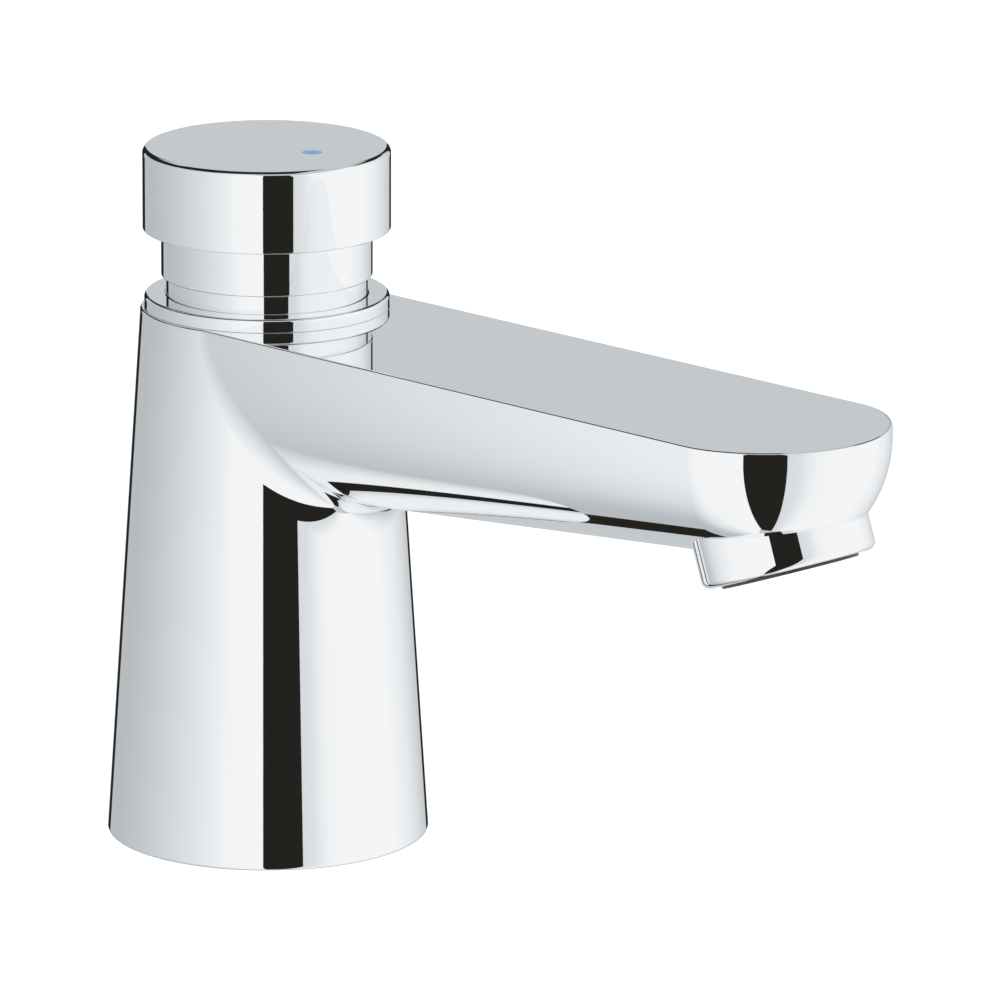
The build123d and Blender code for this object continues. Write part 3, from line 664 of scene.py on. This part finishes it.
def foot_patches(c, taper, low, face):
    """Foot edge, gasket rabbet, pocket, stud boss and the bore in the column's top.

    The bore's lines stand half a step off the flat top's middle line, so that bore and flat share
    no lone point, whose two normals would draw a fine line across the flat.
    """
    top = c.pocket_radius - taper * c.pocket_depth
    mouth = c.pocket_radius - taper * c.rabbet_depth
    foot = section((c.inlet_radius, c.inlet_top), (c.inlet_radius, c.pocket_depth),
                   (top, c.pocket_depth), (mouth, c.rabbet_depth),
                   (c.rabbet_radius, c.rabbet_depth), (c.rabbet_radius, 0.0),
                   (c.base_radius, 0.0, c.base_round), (c.base_radius - taper * low, low))
    stud = section((0.0, c.stud_low + c.stud_depth), (c.stud_hole, c.stud_low + c.stud_depth),
                   (c.stud_hole, c.stud_low), (c.stud_boss, c.stud_low),
                   (c.stud_boss, c.pocket_depth))
    boss = [placed(patch, (0.0, c.stud_offset, 0.0), 0.0)
            for patch in turned(stud, circle(BOSS_STEPS))]
    head = section((c.head_bore, c.height), (c.head_bore, c.height - c.head_depth),
                   (BORE_FLOOR * c.head_bore, c.height - c.head_depth))
    off_middle = circle(ROUND_STEPS) + math.pi / ROUND_STEPS
    return turned(foot, face) + boss + turned(head, off_middle)


def in_spout(c, points):
    """Above zero inside the spout: the least of the height over the underside and the outline.

    At a point's height the flank's turn follows from sin q = drop / depth. In the nose, the place
    on its curve that lies as far along as the point is halved down.
    """
    across, along = np.abs(points[..., 0]), -points[..., 1]
    depth = flank_depth(c, along)
    over = points[..., 2] - (c.height - c.wall - depth)
    turn = np.arcsin(np.clip(1 - over / depth, 0, 1))
    _, half, tip, pulls = spout_level(c, turn / (math.pi / 2))
    start = c.reach - c.tip_length
    ahead = (along - start) / (tip - start)
    low, high = np.zeros_like(ahead), np.ones_like(ahead)
    for _ in range(HALVINGS):
        u = (low + high) / 2
        less = nose_curve(u, *pulls)[0] < ahead
        low, high = np.where(less, u, low), np.where(less, high, u)
    edge = np.where(ahead > 0, half * nose_curve(u, *pulls)[1], half)
    return np.minimum(over, np.minimum(edge - across, tip - along))


def outlet_patches(c, o):
    """The outlet's collar: lower edge, socket and the wall up to where it meets the spout.

    On each line of the wall the meeting height is halved down with in_spout, from the wall's
    foot to twice the waterway's end, which lies above the whole underside.
    """
    origin = (0.0, -o.along, o.height)
    lower = section((o.way, o.way_top), (o.way, o.depth), (o.socket, o.depth), (o.socket, 0.0),
                    (o.radius, 0.0, o.edge), (o.radius, o.straight))
    angles = circle(ROUND_STEPS)
    patches = [placed(patch, origin, o.tilt) for patch in turned(lower, angles)]
    out = level_way(angles)
    ring = o.radius * out
    low, high = np.full_like(angles, o.straight), np.full_like(angles, 2 * o.way_top)
    for _ in range(HALVINGS):
        middle = (low + high) / 2
        line = ring.copy()
        line[:, 2] = middle
        inside = in_spout(c, placed((line, line, None), origin, o.tilt)[0]) > 0
        low, high = np.where(inside, low, middle), np.where(inside, middle, high)
    rows = np.linspace(0, 1, COLLAR_STEPS + 1)[:, None]
    wall = np.repeat(ring[None], len(rows), 0)
    wall[..., 2] = o.straight + (high + o.lap - o.straight) * rows
    patch = grid_patch(wall, np.broadcast_to(out, wall.shape))
    return patches + [placed(patch, origin, o.tilt)]


# Materials


def add(tree, kind, place, sockets=None, **fields):
    """A node at a place in the tree, with its fields and then its input sockets set."""
    node = tree.nodes.new(kind)
    node.location = place
    for key, value in fields.items():
        setattr(node, key, value)
    for key, value in (sockets or {}).items():
        node.inputs[key].default_value = value
    return node


def bare_tree(block):
    """The node tree of a new material or world, with nothing in it."""
    block.use_nodes = True
    block.node_tree.nodes.clear()
    return block.node_tree


def surface_group():
    """Node group: fine waviness and cloudy gloss, the same for all finishes.

    Coarse noise is the mask and varies the roughness about its middle, and fine noise gives a
    height. Inputs are the middle, the spread, the clouds and the grains in a metre, and what each
    coordinate is multiplied by.
    """
    tree = bpy.data.node_groups.new("Surface grain", "ShaderNodeTree")
    for name, value, top in (("Roughness", 0.3, 1.0), ("Spread", 0.05, 1.0),
                             ("Cloud scale", 60.0, 5000.0), ("Grain scale", 900.0, 20000.0)):
        socket = tree.interface.new_socket(name, in_out="INPUT", socket_type="NodeSocketFloat")
        socket.default_value, socket.min_value, socket.max_value = value, 0.0, top
    tree.interface.new_socket("Stretch", in_out="INPUT", socket_type="NodeSocketVector")
    for name in ("Roughness", "Height", "Mask"):
        tree.interface.new_socket(name, in_out="OUTPUT", socket_type="NodeSocketFloat")
    inlet = add(tree, "NodeGroupInput", (-900, 0))
    outlet = add(tree, "NodeGroupOutput", (500, 0))
    coord = add(tree, "ShaderNodeTexCoord", (-900, 300))
    scaled = add(tree, "ShaderNodeVectorMath", (-650, 250), operation="MULTIPLY")
    cloud = add(tree, "ShaderNodeTexNoise", (-400, 250), {"Detail": 3.0}, noise_dimensions="3D")
    grain = add(tree, "ShaderNodeTexNoise", (-400, -50), {"Detail": 2.0}, noise_dimensions="3D")
    spread = add(tree, "ShaderNodeMath", (-150, 200), operation="MULTIPLY_ADD")
    centre = add(tree, "ShaderNodeMath", (-150, 380), {1: 0.5}, operation="SUBTRACT")
    link = tree.links.new
    link(coord.outputs["Object"], scaled.inputs[0])
    link(inlet.outputs["Stretch"], scaled.inputs[1])
    link(scaled.outputs[0], cloud.inputs["Vector"])
    link(scaled.outputs[0], grain.inputs["Vector"])
    link(inlet.outputs["Cloud scale"], cloud.inputs["Scale"])
    link(inlet.outputs["Grain scale"], grain.inputs["Scale"])
    link(cloud.outputs["Fac"], centre.inputs[0])
    link(centre.outputs[0], spread.inputs[0])
    link(inlet.outputs["Spread"], spread.inputs[1])
    link(inlet.outputs["Roughness"], spread.inputs[2])
    link(spread.outputs[0], outlet.inputs["Roughness"])
    link(grain.outputs["Fac"], outlet.inputs["Height"])
    link(cloud.outputs["Fac"], outlet.inputs["Mask"])
    return tree


def shader_mix(tree, place, factor, plain, chosen):
    """A mix of two shaders: plain where the factor is 0, chosen where it is 1."""
    mix = add(tree, "ShaderNodeMixShader", place)
    for source, socket in zip((factor, plain.outputs[0], chosen.outputs[0]), mix.inputs):
        tree.links.new(source, socket)
    return mix


def grey(value):
    """A grey of one value, opaque."""
    return (value, value, value, 1.0)


# Height of the finest relief at full strength, in metres
BUMP_DISTANCE = 0.0001


def finish_material(name, tint, shade, metallic, roughness, spread, clouds, grain, relief,
                    stretch=(1.0, 1.0, 1.0), **sockets):
    """A Principled material whose gloss, colour and relief vary with the surface group.

    The colour runs from shade times the tint to the tint.
    """
    group = bpy.data.node_groups.get("Surface grain") or surface_group()
    material = bpy.data.materials.new(name)
    material.use_nodes = True
    material.diffuse_color = (*tint, 1.0)
    tree = material.node_tree
    shader = tree.nodes["Principled BSDF"]
    shader.inputs["Metallic"].default_value = metallic
    for key, value in sockets.items():
        shader.inputs[key.replace("_", " ")].default_value = value
    node = add(tree, "ShaderNodeGroup", (-700, 0), {
        "Roughness": roughness, "Spread": spread, "Cloud scale": clouds, "Grain scale": grain,
        "Stretch": stretch}, node_tree=group)
    mix = add(tree, "ShaderNodeMix", (-400, 250), {
        "A": (*(shade * part for part in tint), 1.0), "B": (*tint, 1.0)}, data_type="RGBA")
    bump = add(tree, "ShaderNodeBump", (-300, -250), {
        "Strength": relief, "Distance": BUMP_DISTANCE})
    link = tree.links.new
    link(node.outputs["Mask"], mix.inputs["Factor"])
    link(mix.outputs["Result"], shader.inputs["Base Color"])
    link(node.outputs["Roughness"], shader.inputs["Roughness"])
    link(node.outputs["Height"], bump.inputs["Height"])
    link(bump.outputs["Normal"], shader.inputs["Normal"])
    return material


# Slot, material and colour, then the darker share, metallic, roughness and its spread, the sizes
# of clouds and grain as a number for each metre, the relief, and what else differs
FINISHES = (
    ("chrome_plate", "Polished chrome", "chrome", 0.985, 1.0, 0.022, 0.012, 90.0, 400.0, 0.004, {}),
    ("brass", "Turned brass", "brass", 0.80, 1.0, 0.28, 0.12, 140.0, 2600.0, 0.25,
     {"stretch": (0.15, 0.15, 1.0)}),
    ("black_rubber", "Seal rubber", "rubber", 0.7, 0.0, 0.62, 0.16, 300.0, 5200.0, 0.35, {}),
    ("white_acetal", "White acetal", "white", 0.93, 0.0, 0.38, 0.10, 160.0, 3800.0, 0.12,
     {"IOR": 1.48}),
    ("grey_acetal", "Grey acetal", "grey", 0.8, 0.0, 0.42, 0.12, 220.0, 4200.0, 0.18,
     {"IOR": 1.48}),
    ("stainless", "Drawn steel", "steel", 0.86, 1.0, 0.24, 0.10, 220.0, 3000.0, 0.20,
     {"stretch": (1.0, 1.0, 0.12)}),
    ("fibre", "Pressed fibre", "fibre", 0.6, 0.0, 0.75, 0.12, 500.0, 6500.0, 0.5, {}),
    ("blue_enamel", "Blue enamel", "enamel", 0.9, 0.0, 0.16, 0.05, 700.0, 2500.0, 0.03,
     {"Coat_Weight": 0.1, "Coat_Roughness": 0.06}),
)


def materials(f):
    """The tap's materials by slot, made once."""
    return {slot: bpy.data.materials.get(name)
            or finish_material(name, getattr(f, tint), *values, **sockets)
            for slot, name, tint, *values, sockets in FINISHES}


class TAP_OT_casting(Operator):
    """Casting with column, spout, foot and outlet collar"""

    bl_idname = "tap.casting"
    bl_label = "Casting"

    def execute(self, context):
        scene = context.scene
        patches = casting_patches(scene.tap_casting, scene.tap_outlet)
        make_piece("chrome_casting", patches, "tap", ["tap_body"], "chrome_plate")
        return {"FINISHED"}


class TAP_OT_ring(Operator):
    """Collar ring on the column's top"""

    bl_idname = "tap.ring"
    bl_label = "Collar ring"

    def execute(self, context):
        scene = context.scene
        h, c = scene.tap_head, scene.tap_casting
        low, top = c.height - h.skirt_depth, c.height + h.ring_height
        floor, skirt = top - h.recess_depth, c.head_bore - h.fine_edge / 2
        ring = section((h.ring_bore, low), (skirt, low), (skirt, c.height),
                       (h.ring_radius, c.height, h.fine_edge),
                       (h.ring_radius, top, h.ring_edge), (h.ring_recess, top, h.fine_edge),
                       (h.ring_recess, floor), (h.ring_bore, floor), (h.ring_bore, low))
        make_piece("chrome_collar_ring", turned(ring), "tap", ["collar_ring"], "chrome_plate")
        return {"FINISHED"}


class TAP_OT_sleeve(Operator):
    """Neck and sleeve under the push cap"""

    bl_idname = "tap.sleeve"
    bl_label = "Sleeve"

    def execute(self, context):
        scene = context.scene
        h, c = scene.tap_head, scene.tap_casting
        low = c.height + h.ring_height - h.recess_depth
        sleeve = section((h.sleeve_bore, low), (h.neck_radius, low), (h.neck_radius, h.neck_top),
                         (h.sleeve_radius, h.neck_top, h.sleeve_edge),
                         (h.sleeve_radius, h.sleeve_top, h.fine_edge),
                         (h.sleeve_bore, h.sleeve_top), (h.sleeve_bore, low))
        make_piece("chrome_sleeve", turned(sleeve), "tap", ["guide_sleeve"], "chrome_plate")
        return {"FINISHED"}


class TAP_OT_cap(Operator):
    """Push cap and the dot in its top"""

    bl_idname = "tap.cap"
    bl_label = "Push cap"

    def execute(self, context):
        h = context.scene.tap_head
        roof = h.cap_top - h.cap_roof
        cap = section((h.cap_bore, h.cap_low, 0.0), (h.cap_radius, h.cap_low, h.cap_foot),
                      (h.cap_radius, h.cap_top, h.cap_edge), (0.0, h.cap_top))
        inside = section((0.0, roof), (h.cap_bore, roof), (h.cap_bore, h.cap_low))
        make_piece("chrome_push_cap", turned(cap) + turned(inside), "button", ["push_button"],
                   "chrome_plate")
        r = np.linspace(h.dot_radius, 0.0, DOME_STEPS + 1)
        crown = h.cap_top + h.dot_crown * (1 - (r / h.dot_radius) ** 2)
        tilt = 2 * h.dot_crown * r / h.dot_radius ** 2
        size = np.hypot(tilt, 1.0)
        dome = [(np.stack([r, crown], 1), np.stack([tilt / size, 1 / size], 1))]
        sides = section((0.0, h.cap_top - h.dot_depth), (h.dot_radius, h.cap_top - h.dot_depth),
                        (h.dot_radius, h.cap_top))
        dot = [placed(patch, (h.dot_across, -h.dot_offset, 0.0), 0.0)
               for patch in turned(dome + sides, circle(SMALL_STEPS))]
        make_piece("blue_dot", dot, "button", ["indicator_dot"], "blue_enamel")
        return {"FINISHED"}


class TAP_OT_straightener(Operator):
    """Rim and ring of the flow straightener"""

    bl_idname = "tap.straightener"
    bl_label = "Straightener ring"

    def execute(self, context):
        o = context.scene.tap_outlet
        bore, outer = o.ring_bore, o.socket - o.ring_edge / 2
        step, rim = (bore + o.ring_radius) / 2, -o.ring_depth
        ring = section((step, rim), (o.ring_radius, rim, o.ring_edge), (o.ring_radius, 0.0),
                       (outer, 0.0), (outer, o.ring_length), (bore, o.ring_length))
        half = o.notch_width / 2 / o.ring_radius
        middles = np.arange(o.notches) * 2 * math.pi / max(o.notches, 1)
        sides = np.array([-half, -half + NOTCH_SIDE, half - NOTCH_SIDE, half])
        edges = (middles[:, None] + sides).ravel() % (2 * math.pi)
        angles = np.unique(np.concatenate([circle(ROUND_STEPS), edges]))
        off = np.abs((angles[:, None] - middles + math.pi) % (2 * math.pi) - math.pi)
        notched = (off < half - NOTCH_SIDE / 2).any(1)
        patches = turned(ring, angles)
        inner = (((bore, o.ring_length), (bore, rim), (-1.0, 0.0), (False, True)),
                 ((bore, rim), (step, rim), (0.0, -1.0), (True, True)),
                 ((step, rim), (step, rim), (-1.0, 0.0), (True, False)))
        for start, end, way, moves in inner:
            points, normals, triangles = turned([(np.array([start, end]), np.array([way] * 2))],
                                                angles)[0]
            grid = points.reshape(2, len(angles), 3)
            lifted = notched[None, :] & np.array(moves)[:, None]
            grid[..., 2] = np.where(lifted, 0.0, grid[..., 2])
            patches.append((grid.reshape(-1, 3), normals, triangles))
        patches = [placed(patch, (0.0, -o.along, o.height), o.tilt) for patch in patches]
        make_piece("straightener_ring", patches, "tap", ["aerator_housing"], "grey_acetal")
        return {"FINISHED"}


class TAP_OT_spring(Operator):
    """Return spring under the cap"""

    bl_idname = "tap.spring"
    bl_label = "Return spring"

    def execute(self, context):
        h = context.scene.tap_head
        u = np.linspace(0, 1, int(h.coil_turns * COIL_STEPS) + 1)
        low = h.coil_low + h.coil_gap + h.wire_radius
        climb = h.coil_high - h.coil_gap - h.wire_radius - low
        turn = 2 * math.pi * h.coil_turns * u
        rise = climb * (u - h.coil_close / (2 * math.pi) * np.sin(2 * math.pi * u))
        rate = climb * (1 - h.coil_close * np.cos(2 * math.pi * u))
        speed = 2 * math.pi * h.coil_turns * h.coil_radius
        way = np.stack([-speed * np.sin(turn), speed * np.cos(turn), rate], 1)
        way /= np.linalg.norm(way, axis=1)[:, None]
        out = level_way(turn)
        side = np.cross(way, out)
        middle = h.coil_radius * out + (low + rise)[:, None] * UP
        ring = circle(WIRE_STEPS)[:, None, None]
        normal = np.cos(ring) * out + np.sin(ring) * side
        patches = [grid_patch(middle + h.wire_radius * normal, normal)]
        for end, facing in ((0, -1.0), (-1, 1.0)):
            rim = middle[end] + h.wire_radius * normal[:, end]
            disc = np.stack([rim, np.broadcast_to(middle[end], rim.shape)], 1)
            patches.append(grid_patch(disc, np.broadcast_to(facing * way[end], disc.shape)))
        spring = make_piece("return_coil", patches, "tap", ["return_spring"], "stainless")
        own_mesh(spring)
        return {"FINISHED"}


class TAP_OT_inner(Operator):
    """Materials for the inner pieces that keep their CAD shape"""

    bl_idname = "tap.inner"
    bl_label = "Inner pieces"

    def execute(self, context):
        finishes = materials(context.scene.tap_finishes)
        slots = {entry["node"]: entry["material_slot"] for entry in frame["record"]["subparts"]}
        for node, piece in frame["nodes"].items():
            if piece.hide_render or piece.type != "MESH":
                continue
            if not piece.material_slots:
                piece.data.materials.append(finishes[slots[node]])
            for place in piece.material_slots:
                place.material = finishes[slots[node]]
        return {"FINISHED"}


# Red and blue that a grey light gets in the middle greys, and near black
COOL = (-0.18, 0.14)
WARM = (0.001, -0.003)


def tinted(light):
    """Colour of a grey light: cool in the middle, a little warm near black.

    The first part goes with light squared times the rest up to 1, the second with the eighth
    power of that rest.
    """
    middle, deep = light * light * (1 - light), (1 - light) ** 8
    return np.stack([light + COOL[0] * middle + WARM[0] * deep, light,
                     light + COOL[1] * middle + WARM[1] * deep, np.ones_like(light)], -1)


# Height of the front cards, the black ceiling and the dark card at the back left, as a share of
# the front cards' distance from the tap's axis
ROOF = 1.35
# Corners of that ceiling in metres to the right of the tap and in front of it
CEILING = ((-1.0, -0.27), (0.13, -0.27), (0.13, 0.14), (-1.0, 0.14))
# Rings of the floor's disc as shares of its radius
FLOOR_RINGS = (0.0, 0.2, 1.0)
# Width of the camera's sensor in millimetres, and what it sees from and to in metres
SENSOR_WIDTH = 36.0
CLIP = (0.01, 20.0)


def card_list(s):
    """Upright cards as lists of corners (right, front, foot, top, light), seen from the camera.

    Places and tops are shares of the card's own distance from the tap's axis. The left card
    stands close to the tap and darkens away from the camera, with a dark end that draws the left
    outlines. The front cards stand either side of a black one. The right cards are given by their
    turn in degrees from the camera's side. They run round to the back and end in a dark one that
    draws the right outlines. Two more dark cards stand behind.
    """
    side, front, far = s.side_card, s.front_card, s.far_cards
    low, roof, white, black = -s.depth, ROOF * front, s.white, s.black
    left = [(-side, ahead * side, low, top * side, light) for ahead, top, light in (
        (-1.42, 1.85, 0.53), (-0.58, 1.9, 0.53), (-0.25, 2.0, 0.56), (0.0, 2.1, 0.60),
        (0.23, 2.3, 0.655), (0.47, 2.6, 0.72), (0.76, 3.0, 0.795), (1.18, 3.6, 0.88),
        (1.9, 4.6, 0.968), (3.9, 7.0, white), (5.8, 7.8, white))]
    left_end = [(-1.07 * side, -4.08 * side, low, 4.5 * side, black),
                (-side, -1.42 * side, low, 2.6 * side, black)]
    left_far = [(-0.75 * far, ahead * far, -0.2 * far, roof, black) for ahead in (-1.5, 0.3)]
    front_left, front_black, front_right = (
        [(right * front, front, low, roof, light) for right, light in card]
        for card in (((-1.0, white), (-0.061, white)), ((-0.061, black), (0.445, black)),
                     ((0.445, 0.76), (0.6, 0.79), (0.81, 0.91), (0.95, 0.95))))
    right = [(far * math.sin(math.radians(turn)), far * math.cos(math.radians(turn)), low,
              top * far, light)
             for turn, top, light in ((43, 1.3, 0.95), (55, 1.3, white), (98, 1.3, white),
                                      (110, 1.3, 0.93), (120, 1.1, 0.89), (135, 0.8, 0.76),
                                      (150, 0.68, 0.635), (156, 0.65, 0.61))]
    right_end = [(0.41 * far, -0.91 * far, low, 0.9 * far, black),
                 (0.58 * far, -3.75 * far, low, 2.6 * far, black)]
    right_far = [(1.3 * far, -0.6 * far, 0.3 * far, 1.8 * far, black),
                 (0.5 * far, -1.3 * far, 0.3 * far, 1.2 * far, black)]
    return (left, left_end, left_far, front_left, front_black, front_right, right, right_end,
            right_far)


class TAP_OT_studio(Operator):
    """Floor, light cards, world and camera"""

    bl_idname = "tap.studio"
    bl_label = "Studio"

    def floor(self, s):
        """A disc under the tap. Mirrors look through it, and the camera sees it almost white."""
        far = np.array(FLOOR_RINGS)[:, None, None] * s.floor_radius
        disc = far * level_way(circle(SMALL_STEPS))
        points, _, triangles = grid_patch(disc, np.broadcast_to(UP, disc.shape))
        mesh = bpy.data.meshes.new("floor")
        mesh.from_pydata(points.tolist(), [], triangles.tolist())
        material = bpy.data.materials.new("Pale floor")
        tree = bare_tree(material)
        path = add(tree, "ShaderNodeLightPath", (-600, 300))
        matt = add(tree, "ShaderNodeBsdfDiffuse", (-400, 0), {"Color": grey(s.floor_shade)})
        glow = add(tree, "ShaderNodeEmission", (-400, -150), {"Strength": s.floor_glow})
        both = add(tree, "ShaderNodeAddShader", (-200, -50))
        plain = add(tree, "ShaderNodeBsdfDiffuse", (-400, 150), {"Color": grey(s.floor_bounce)})
        clear = add(tree, "ShaderNodeBsdfTransparent", (0, -150))
        out = add(tree, "ShaderNodeOutputMaterial", (400, 50))
        tree.links.new(matt.outputs[0], both.inputs[0])
        tree.links.new(glow.outputs[0], both.inputs[1])
        seen = shader_mix(tree, (0, 50), path.outputs["Is Camera Ray"], plain, both)
        mirror = shader_mix(tree, (200, 50), path.outputs["Is Glossy Ray"], seen, clear)
        tree.links.new(mirror.outputs[0], out.inputs["Surface"])
        mesh.materials.append(material)
        return bpy.data.objects.new("floor", mesh)

    def cards(self, s):
        """Light cards that only mirrors see. The camera and matt surfaces look through them."""
        heading = math.atan2(s.camera_place[1], s.camera_place[0])
        ahead = np.array([math.cos(heading), math.sin(heading)])
        beside = np.array([-math.sin(heading), math.cos(heading)])
        points, faces, lights = [], [], []
        for card in card_list(s):
            for right, front, foot, top, light in card:
                plan = right * beside + front * ahead
                points += [(*plan, foot), (*plan, top)]
                lights += [light, light]
            first = len(points) - 2 * len(card)
            faces += [(first + k, first + k + 1, first + k + 3, first + k + 2)
                      for k in range(0, 2 * len(card) - 2, 2)]
        faces.append(tuple(range(len(points), len(points) + len(CEILING))))
        points += [(*(right * beside + front * ahead), ROOF * s.front_card)
                   for right, front in CEILING]
        lights += [s.black] * len(CEILING)
        mesh = bpy.data.meshes.new("light_cards")
        mesh.from_pydata(points, [], faces)
        light = mesh.attributes.new("card_light", "FLOAT_COLOR", "POINT")
        light.data.foreach_set("color", tinted(np.array(lights)).astype(np.float32).ravel())
        material = bpy.data.materials.new("Light cards")
        tree = bare_tree(material)
        path = add(tree, "ShaderNodeLightPath", (-600, 200))
        card = add(tree, "ShaderNodeAttribute", (-600, -50), attribute_name="card_light")
        glow = add(tree, "ShaderNodeEmission", (-300, 0))
        clear = add(tree, "ShaderNodeBsdfTransparent", (-300, -150))
        out = add(tree, "ShaderNodeOutputMaterial", (200, 0))
        unseen = add(tree, "ShaderNodeMath", (-300, 200), operation="MAXIMUM")
        tree.links.new(path.outputs["Is Camera Ray"], unseen.inputs[0])
        tree.links.new(path.outputs["Is Diffuse Ray"], unseen.inputs[1])
        tree.links.new(card.outputs["Color"], glow.inputs["Color"])
        mix = shader_mix(tree, (-50, 0), unseen.outputs[0], glow, clear)
        tree.links.new(mix.outputs[0], out.inputs["Surface"])
        mesh.materials.append(material)
        return bpy.data.objects.new("light_cards", mesh)

    def world(self, scene, s):
        """White behind the tap, where mirrors see a grey panel."""
        world = bpy.data.worlds.new("Studio")
        tree = bare_tree(world)
        path = add(tree, "ShaderNodeLightPath", (-550, 350))
        panel = tinted(np.array(s.panel)).tolist()
        seen, mirror, soft = (
            add(tree, "ShaderNodeBackground", (-250, place), {"Color": light})
            for place, light in ((150, grey(1.0)), (0, panel), (-150, grey(s.soft))))
        out = add(tree, "ShaderNodeOutputWorld", (400, 50))
        matt = shader_mix(tree, (0, -50), path.outputs["Is Diffuse Ray"], mirror, soft)
        mix = shader_mix(tree, (200, 50), path.outputs["Is Camera Ray"], matt, seen)
        tree.links.new(mix.outputs[0], out.inputs["Surface"])
        scene.world = world

    def execute(self, context):
        scene = context.scene
        s = scene.tap_studio
        for stand in (self.floor(s), self.cards(s)):
            scene.collection.objects.link(stand)
        self.world(scene, s)
        data = bpy.data.cameras.new("Camera")
        data.lens, data.sensor_width = s.camera_lens, SENSOR_WIDTH
        data.clip_start, data.clip_end = CLIP
        camera = bpy.data.objects.new("Camera", data)
        camera.location = s.camera_place
        aim = Euler((math.pi / 2 + s.camera_pitch, 0.0, s.camera_yaw - math.pi / 2), "XYZ")
        roll = Euler((0.0, 0.0, s.camera_roll), "XYZ")
        camera.rotation_euler = (aim.to_matrix() @ roll.to_matrix()).to_euler()
        scene.collection.objects.link(camera)
        scene.camera = camera
        scene.view_settings.view_transform = "Standard"
        return {"FINISHED"}


OPERATORS = (TAP_OT_casting, TAP_OT_ring, TAP_OT_sleeve, TAP_OT_cap, TAP_OT_straightener,
             TAP_OT_spring, TAP_OT_inner, TAP_OT_studio)
SETTINGS = (("tap_casting", CastingSizes), ("tap_outlet", OutletSizes), ("tap_head", HeadSizes),
            ("tap_finishes", Finishes), ("tap_studio", StudioSettings))


class TAP_PT_panel(Panel):
    """Steps and sizes of the tap"""

    bl_idname = "TAP_PT_panel"
    bl_label = "Push timed tap"
    bl_space_type = "VIEW_3D"
    bl_region_type = "UI"
    bl_category = "Tap"

    def draw(self, context):
        layout = self.layout
        for operator in OPERATORS:
            layout.operator(operator.bl_idname)
        for name, group in SETTINGS:
            box = layout.box()
            for key in group.__annotations__:
                box.prop(getattr(context.scene, name), key)


def register():
    for name, group in SETTINGS:
        bpy.utils.register_class(group)
        setattr(bpy.types.Scene, name, PointerProperty(type=group))
    for operator in OPERATORS:
        bpy.utils.register_class(operator)
    bpy.utils.register_class(TAP_PT_panel)


def unregister():
    bpy.utils.unregister_class(TAP_PT_panel)
    for operator in reversed(OPERATORS):
        bpy.utils.unregister_class(operator)
    for name, group in reversed(SETTINGS):
        delattr(bpy.types.Scene, name)
        bpy.utils.unregister_class(group)


def main():
    """Builds every piece in order."""
    register()
    bpy.ops.tap.casting()
    bpy.ops.tap.ring()
    bpy.ops.tap.sleeve()
    bpy.ops.tap.cap()
    bpy.ops.tap.straightener()
    bpy.ops.tap.spring()
    bpy.ops.tap.inner()
    bpy.ops.tap.studio()


if __name__ == "__main__":
    main()
